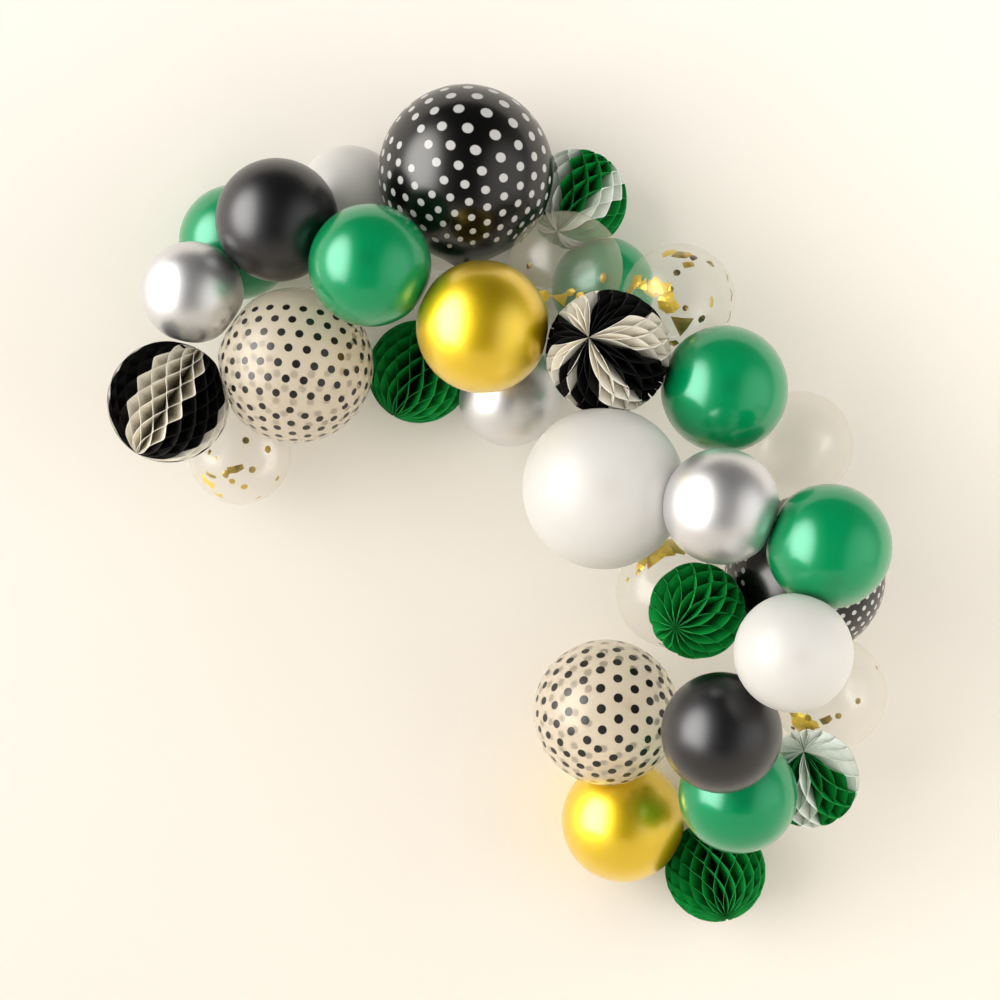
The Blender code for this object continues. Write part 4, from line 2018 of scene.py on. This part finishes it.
@dataclass(frozen=True)
class Room:
    """The light of the room all round: dim before the wall, brighter to both sides.

    The ramps run over the direction looked in: aside is how far to either side it is, wash and
    rising light matt surfaces alone, and the glows are mirrored in glossy ones alone.
    """

    aside: Ramp = Ramp(0.35, 0.95, 0.07, 0.50)
    above: Ramp = Ramp(0.10, 0.60, 1.0, 0.45)
    behind: Ramp = Ramp(-0.2, 0.5, 1.0, 1.25)
    below: Ramp = Ramp(-0.35, -0.95, 0.0, 0.25)
    wash: Ramp = Ramp(-0.8, 0.8, 0.74, 0.53)
    rising: Ramp = Ramp(-0.7, 0.7, 1.45, 0.85)
    glows: tuple[Glow, ...] = (
        Glow((-0.90, -0.43, 0.05), 0.55, 0.90, 0.5),
        Glow((0.80, -0.58, -0.20), 0.76, 0.97, 0.85),
        Glow((-0.865, -0.500, 0.10), 0.84, 0.99, 8.6),
    )
    colour: Colour = LAMP_WHITE
    seen_colour: Colour = (0.90, 0.86, 0.79)
    seen_level: float = 0.9
    clear_layers: int = 24

    def build(self) -> None:
        """Light the room, and let light through as many clear layers as the garland has."""
        world = bpy.data.worlds.new("room")
        world.use_nodes = True
        graph = Graph(world.node_tree)
        ways = graph.add("ShaderNodeLightPath").outputs
        room = self.background(graph, self.colour, self.level(graph, ways))
        plain = self.background(graph, self.seen_colour, self.seen_level)
        shown = graph.mix_shaders(ways["Is Camera Ray"], room, plain)
        graph.fill(graph.add("ShaderNodeOutputWorld"), {"Surface": shown})
        scene = bpy.context.scene
        scene.world = world
        scene.view_settings.view_transform = "Standard"
        scene.cycles.transparent_max_bounces = self.clear_layers

    @staticmethod
    def background(graph: Graph, colour: Colour, level: Any) -> Socket:
        """Add a background and return its shader."""
        node = graph.add("ShaderNodeBackground")
        return graph.fill(node, {"Color": colour, "Strength": level}).outputs[0]

    def level(self, graph: Graph, ways: Any) -> Socket:
        """Work out how bright the room is in a direction.

        Args:
            graph: The world's graph.
            ways: The outputs that tell what kind of ray is looking.

        Returns:
            The brightness.
        """
        where = graph.add("ShaderNodeSeparateXYZ")
        graph.feed(where.inputs[0], graph.add("ShaderNodeTexCoord").outputs["Generated"])
        across, away, up = where.outputs
        sides = graph.ramp(graph.math("ABSOLUTE", across), *self.aside)
        dimmed = graph.math("MULTIPLY", sides, graph.ramp(up, *self.above))
        lit = graph.math("MAXIMUM", dimmed, graph.ramp(up, *self.below))
        lit = graph.math("MULTIPLY", lit, graph.ramp(away, *self.behind))
        wash = graph.math("MULTIPLY", graph.ramp(across, *self.wash), graph.ramp(up, *self.rising))
        bounced = graph.math("MULTIPLY", ways["Is Diffuse Ray"], wash)
        glowing = self.glows[0].strength(graph)
        for glow in self.glows[1:]:
            glowing = graph.math("ADD", glowing, glow.strength(graph))
        mirrored = graph.math("MULTIPLY", ways["Is Glossy Ray"], glowing)
        return graph.math("ADD", lit, graph.math("ADD", bounced, mirrored))


@dataclass(frozen=True)
class SoftLight:
    """A soft rectangular light; power is in watts, and mirrored tells if gloss shows it."""

    name: str
    place: Triple
    size: tuple[float, float]
    power: float
    colour: Colour = LAMP_WHITE
    mirrored: bool = False

    def build(self, aim: Triple) -> None:
        """Hang the light.

        Args:
            aim: The place that it is turned to.
        """
        data = bpy.data.lights.new(self.name, "AREA")
        data.shape = "RECTANGLE"
        data.size, data.size_y = self.size
        data.energy = self.power
        data.color = self.colour
        lamp = bpy.data.objects.new(self.name, data)
        lamp.location = self.place
        lamp.visible_camera = False
        lamp.visible_glossy = self.mirrored
        ray = Vector(aim) - Vector(self.place)
        lamp.rotation_euler = ray.to_track_quat("-Z", "Y").to_euler()
        bpy.context.scene.collection.objects.link(lamp)


@dataclass
class Stage:
    """The plain wall and floor, the soft light and the camera."""

    palette: Palette
    wall_width: float = 9.0
    wall_height: float = 5.5
    wall_gap: float = 0.003
    floor_height: float = -2.20
    floor_depth: float = 2.3
    camera_place: Triple = (0.2141, -4.70, -0.4882)
    camera_lens: float = 79.0
    film_width: float = 36.0
    aim: Triple = (0.2, -0.2, -0.5)
    room: Room = Room()
    lights: tuple[SoftLight, ...] = (
        SoftLight("key_light", (-9.9, -6.8, 0.8), (12.5, 11.0), 1160.0, (1.0, 0.98, 0.96)),
        SoftLight("fill_light", (3.6, -2.0, -0.4), (2.8, 3.6), 55.0),
        SoftLight("back_light", (0.2, 2.6, 0.9), (3.0, 2.0), 40.0, mirrored=True),
    )

    def build(self) -> None:
        """Make the whole stage."""
        left = self.camera_place[0] - self.wall_width / 2
        right = self.camera_place[0] + self.wall_width / 2
        low, high = self.floor_height, self.floor_height + self.wall_height
        back, front = self.wall_gap, -self.floor_depth
        wall = ((left, back, low), (right, back, low), (right, back, high), (left, back, high))
        self.panel("stage_wall", wall, WALL_PAINT)
        floor = ((left, front, low), (right, front, low), (right, back, low), (left, back, low))
        self.panel("stage_floor", floor, FLOOR_PAINT)
        for light in self.lights:
            light.build(self.aim)
        self.room.build()
        self.camera()
        log.info("stage: %d lights", len(self.lights))

    def panel(self, name: str, corners: Sequence[Triple], paint: WallPaint) -> None:
        """Add one flat panel of the stage.

        Args:
            name: The panel's name.
            corners: Its four corners in the frame.
            paint: Its finish.
        """
        thing = add_mesh(name, np.array(corners), [(0, 1, 2, 3)], Matrix.Identity(4), smooth=False)
        self.palette.dress(thing, paint)

    def camera(self) -> None:
        """Stand the camera, level, where the photograph was taken from."""
        data = bpy.data.cameras.new("camera")
        data.lens = self.camera_lens
        data.sensor_width = self.film_width
        camera = bpy.data.objects.new("camera", data)
        camera.location = self.camera_place
        camera.rotation_euler = (math.radians(90.0), 0.0, 0.0)
        bpy.context.scene.collection.objects.link(camera)
        bpy.context.scene.camera = camera


ROUND, SHARD, WEDGE, SLIVER = FlakeShape

# The foil in each balloon that has some; each flake's tone is its painted light
FLAKES: dict[str, tuple[Flake, ...]] = {
    "clear_balloon_top": (
        Flake(-0.79, 0.47, 0.012, SLIVER, 50, 0.1), Flake(-0.67, -0.03, 0.016, SHARD, 10, 0.0),
        Flake(0.82, 0.62, 0.010, ROUND, 0, 0.2), Flake(-0.39, -0.42, 0.034, SHARD, 30, 1.0, False),
        Flake(-0.03, -0.50, 0.038, WEDGE, 200, 0.8, False), Flake(0.30, -0.46, 0.030, SHARD, 80, 1.0, False),
        Flake(0.12, -0.34, 0.022, SHARD, 20, 0.9, False), Flake(0.72, -0.10, 0.024, SHARD, 75, 0.7, False),
    ),
    "confetti_balloon_top_right": (
        Flake(-0.20, 0.84, 0.036, SHARD, 10, 0.65), Flake(-0.02, 0.78, 0.034, SHARD, -25, 0.25),
        Flake(0.12, 0.76, 0.030, WEDGE, 160, 0.5), Flake(0.22, 0.72, 0.020, SHARD, 40, 0.05),
        Flake(0.12, 0.58, 0.024, SLIVER, 15, 0.45), Flake(-0.10, 0.42, 0.015, ROUND, 0, 0.0),
        Flake(-0.21, 0.12, 0.012, ROUND, 0, 0.35), Flake(0.21, -0.05, 0.013, ROUND, 0, 0.15, False),
        Flake(0.54, 0.62, 0.020, SHARD, -30, 0.2), Flake(0.86, 0.44, 0.030, SLIVER, -60, 0.2, narrow=0.3),
        Flake(0.94, 0.08, 0.028, SLIVER, -85, 0.15, narrow=0.3),
        Flake(0.91, -0.32, 0.026, SLIVER, 70, 0.2, narrow=0.3),
        Flake(0.53, -0.10, 0.022, SLIVER, 88, 0.6, narrow=0.35), Flake(0.35, -0.40, 0.018, SHARD, 35, 0.0),
        Flake(0.00, -0.56, 0.052, WEDGE, 180, 0.3), Flake(-0.14, -0.82, 0.024, SHARD, 20, 0.3),
        Flake(-0.50, 0.16, 0.054, SHARD, -25, 1.0), Flake(-0.34, 0.06, 0.046, WEDGE, 200, 1.0),
        Flake(-0.30, -0.10, 0.048, SHARD, 65, 1.0), Flake(-0.20, -0.20, 0.034, SHARD, 15, 0.9),
        Flake(-0.50, 0.26, 0.028, SHARD, 60, 1.0), Flake(-0.84, 0.30, 0.046, SHARD, -15, 0.8),
        Flake(-0.72, 0.20, 0.030, WEDGE, 100, 0.9), Flake(-0.92, 0.12, 0.030, SHARD, 70, 0.75),
    ),
    "confetti_balloon_left": (
        Flake(0.23, 0.23, 0.015, ROUND, 0, 0.15), Flake(0.65, 0.06, 0.016, ROUND, 0, 0.4),
        Flake(-0.50, 0.00, 0.011, SLIVER, 60, 0.2), Flake(-0.37, -0.12, 0.008, ROUND, 0, 0.4),
        Flake(0.02, -0.34, 0.036, SLIVER, 15, 0.25, narrow=0.42), Flake(-0.18, -0.44, 0.020, SHARD, 70, 0.4),
        Flake(-0.06, -0.58, 0.014, ROUND, 0, 0.5), Flake(0.35, -0.35, 0.015, ROUND, 0, 0.3),
        Flake(0.17, -0.69, 0.015, ROUND, 0, 0.6), Flake(0.79, -0.52, 0.013, ROUND, 0, 0.35),
        Flake(0.40, -0.90, 0.013, ROUND, 0, 0.6), Flake(-0.50, -0.46, 0.026, SLIVER, -12, 0.35, narrow=0.35),
        Flake(-0.64, -0.55, 0.040, WEDGE, 30, 0.95), Flake(-0.52, -0.66, 0.026, SHARD, 70, 0.95),
        Flake(-0.38, -0.86, 0.036, WEDGE, -30, 0.85),
    ),
    "confetti_balloon_middle": (
        Flake(-0.32, 0.90, 0.140, WEDGE, 20, 0.62), Flake(-0.52, 0.74, 0.040, SHARD, 45, 0.6),
        Flake(0.02, 0.82, 0.052, SHARD, -38, 0.6), Flake(-0.16, 0.74, 0.040, SHARD, -20, 0.8),
        Flake(-0.62, 0.50, 0.034, SHARD, 30, 0.65), Flake(-0.68, 0.36, 0.014, SLIVER, 40, 0.4),
        Flake(-0.21, -0.96, 0.020, SLIVER, 5, 0.2), Flake(-0.85, 0.22, 0.011, ROUND, 0, 0.5),
        Flake(0.30, 0.10, 0.015, ROUND, 0, 0.2, False), Flake(0.05, -0.62, 0.015, ROUND, 0, 0.3, False),
    ),
    "confetti_balloon_low_right": (
        Flake(0.81, 0.47, 0.011, ROUND, 0, 0.5), Flake(0.38, -0.07, 0.013, ROUND, 0, 0.2),
        Flake(0.03, -0.33, 0.014, ROUND, 0, 0.3), Flake(-0.18, -0.41, 0.026, SLIVER, 35, 0.3),
        Flake(-0.48, -0.38, 0.015, ROUND, 0, 0.5), Flake(-0.52, -0.62, 0.060, WEDGE, 20, 1.0),
        Flake(-0.66, -0.42, 0.044, SHARD, 60, 1.0), Flake(-0.58, -0.50, 0.048, WEDGE, 120, 1.0),
        Flake(-0.72, -0.34, 0.022, SLIVER, 50, 0.5), Flake(-0.44, -0.52, 0.040, SHARD, 10, 1.0),
        Flake(-0.64, -0.54, 0.044, SHARD, 70, 1.0), Flake(-0.42, -0.74, 0.046, SHARD, -20, 1.0),
        Flake(-0.70, -0.60, 0.014, SHARD, 40, 0.1), Flake(-0.10, -0.84, 0.056, WEDGE, -8, 0.55),
        Flake(-0.30, -0.72, 0.030, SHARD, 15, 0.35),
    ),
}

# How each dotted balloon is printed
SCREENS: dict[str, DotScreens] = {
    "dotted_black_balloon_top": DotScreens(*BLACK_PITCH, (
        PrintFace((0.25, -0.80, 0.55), (-0.25, 0.15, 1.0), 0.94, 1.60, swell=0.60, swell_reach=0.62),
        PrintFace((-0.85, -0.50, 0.10), (0.0, 0.1, 1.0), 0.75, 1.10, scale=1.05),
        PrintFace((0.90, 0.20, 0.10), (0.0, 0.1, 1.0), 0.80, 1.10),
        PrintFace((-0.10, 0.95, 0.25), (0.0, 0.1, 1.0), 1.10, 1.30, swell=0.3),
    ), margin=0.12),
    "dotted_black_balloon_right": DotScreens(*BLACK_PITCH, (
        PrintFace((0.75, -0.40, -0.50), (-0.3, 0.1, 0.9), 1.10, 1.30, scale=0.80),
        PrintFace((-0.72, 0.25, 0.65), (0.3, 0.1, 0.9), 0.85, 0.90, scale=0.9),
        PrintFace((0.20, 0.80, 0.50), (0.0, 0.1, 1.0), 1.30, 1.40, scale=1.1),
    )),
    "dotted_clear_balloon_left": DotScreens(*CLEAR_PITCH, (
        PrintFace((0.0, -0.985, 0.16), (0.10, 0.0, 1.0), 0.82, 0.66),
        PrintFace((0.0, -0.45, -0.88), (1.0, 0.0, 0.0), 0.50, 0.95, scale=0.95),
        PrintFace((-0.98, -0.15, -0.10), (0.0, 0.0, 1.0), 0.80, 0.75, scale=0.95),
        PrintFace((0.98, -0.15, -0.10), (0.0, 0.0, 1.0), 0.80, 0.75, scale=0.95),
        PrintFace((0.0, 0.95, -0.25), (0.0, 0.0, 1.0), 0.95, 0.75),
    ), margin=0.08),
    "dotted_clear_balloon_low": DotScreens(*CLEAR_PITCH, (
        PrintFace((-0.12, -0.93, 0.42), (1.0, 0.0, 0.0), 0.70, 1.30, scale=1.20),
        PrintFace((0.05, -0.70, -0.75), (1.0, 0.05, 0.0), 0.62, 1.30, scale=1.12),
        PrintFace((0.0, 0.60, 0.80), (1.0, 0.0, 0.0), 0.70, 1.20, scale=1.15),
        PrintFace((0.0, 0.80, -0.60), (1.0, 0.0, 0.0), 0.60, 1.20, scale=1.10),
    ), margin=0.08),
}

# How each honeycomb ball is made up
COMBS: dict[str, Comb] = {
    "honeycomb_left_end": Comb(44, 0.0265, sectors=(
        (0.0, Tissue.CREAM), (8.0, Tissue.BLACK), (42.0, Tissue.CREAM), (101.0, Tissue.BLACK),
        (141.0, Tissue.CREAM), (165.0, Tissue.BLACK), (200.0, Tissue.CREAM), (222.0, Tissue.BLACK),
        (262.0, Tissue.CREAM), (300.0, Tissue.BLACK), (340.0, Tissue.CREAM),
    )),
    "honeycomb_green_left": Comb(40, 0.0300, glue_start=0.3),
    "honeycomb_top": Comb(36, 0.0280, sectors=(
        (0.0, Tissue.WHITE), (19.0, Tissue.GREEN), (70.0, Tissue.WHITE), (98.0, Tissue.GREEN),
        (150.0, Tissue.WHITE), (200.0, Tissue.GREEN), (250.0, Tissue.WHITE), (292.0, Tissue.GREEN),
        (335.0, Tissue.WHITE),
    )),
    "honeycomb_pinwheel": Comb(44, 0.0300, sectors=(
        (0.0, Tissue.BLACK), (55.0, Tissue.CREAM), (103.0, Tissue.BLACK), (144.0, Tissue.CREAM),
        (172.0, Tissue.BLACK), (205.0, Tissue.CREAM), (218.0, Tissue.BLACK), (231.0, Tissue.CREAM),
        (262.0, Tissue.BLACK), (305.0, Tissue.CREAM), (358.0, Tissue.BLACK),
    )),
    "honeycomb_green_right": Comb(30, 0.0285, turn=9.0),
    "honeycomb_low_right": Comb(32, 0.0280, sectors=(
        (0.0, Tissue.WHITE), (108.0, Tissue.GREEN), (168.0, Tissue.WHITE), (198.0, Tissue.GREEN),
        (232.0, Tissue.WHITE),
    )),
    "honeycomb_green_bottom": Comb(38, 0.0260),
}


@dataclass
class Garland:
    """The whole garland: every balloon, every ball and the strip that carries them.

    The details are how many sides and body rings a balloon has.
    """

    palette: Palette
    plain_detail: tuple[int, int] = (80, 46)
    printed_detail: tuple[int, int] = (176, 96)

    def build(self) -> None:
        """Build and dress every piece."""
        rows = LATEX_ROWS + TISSUE_ROWS
        for placing in LATEX_ROWS:
            self.add_balloon(placing, Pressing(placing, rows))
        for number, placing in enumerate(TISSUE_ROWS):
            self.add_honeycomb(placing, Pressing(placing, rows), number + 1)
        self.add_strip()

    def add_balloon(self, placing: Placing, pressing: Pressing) -> None:
        """Add one balloon, with its print and its confetti.

        Args:
            placing: Where it stands.
            pressing: The flats that it is pressed to.
        """
        screens = SCREENS.get(placing.name)
        detail = self.printed_detail if screens else self.plain_detail
        balloon = Balloon(placing, pressing, *detail)
        thing = balloon.build()
        self.palette.dress(thing, LATEX[placing.slot])
        if screens:
            screens.lay(balloon, thing)
        stand_for(thing, placing)
        log.info("%s: %d faces", thing.name, len(thing.data.polygons))
        if placing.name in FLAKES:
            confetti = FoilConfetti(placing, pressing, FLAKES[placing.name]).build()
            self.palette.dress(confetti, GOLD_FOIL)
            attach(confetti, "root")
            log.info("%s: %d flakes", confetti.name, len(FLAKES[placing.name]))

    def add_honeycomb(self, placing: Placing, pressing: Pressing, seed: int) -> None:
        """Add one honeycomb ball.

        Args:
            placing: Where it stands.
            pressing: The flats that it is pressed to.
            seed: What its sheets' small differences are drawn from.
        """
        ball = HoneycombBall(placing, pressing, COMBS[placing.name], seed)
        thing = ball.build(self.palette)
        stand_for(thing, placing)
        log.info("%s: %d sheets", thing.name, ball.comb.sheets)

    def add_strip(self) -> None:
        """Add the decorating strip."""
        thing = DecoratingStrip().build()
        self.palette.dress(thing, STRIP_PLASTIC)
        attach(thing, "root")
        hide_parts("decorating_strip")
        log.info("%s: %d faces", thing.name, len(thing.data.polygons))


def corners(box: Sequence[Vector]) -> list[list[float]]:
    """Return a box's two corners as plain numbers."""
    return [[float(value) for value in corner] for corner in box]


def main() -> None:
    """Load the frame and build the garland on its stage."""
    logging.basicConfig(level=logging.INFO, format="%(name)s: %(message)s")
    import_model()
    palette = Palette()
    Stage(palette).build()
    Garland(palette).build()


if __name__ == "__main__":
    main()
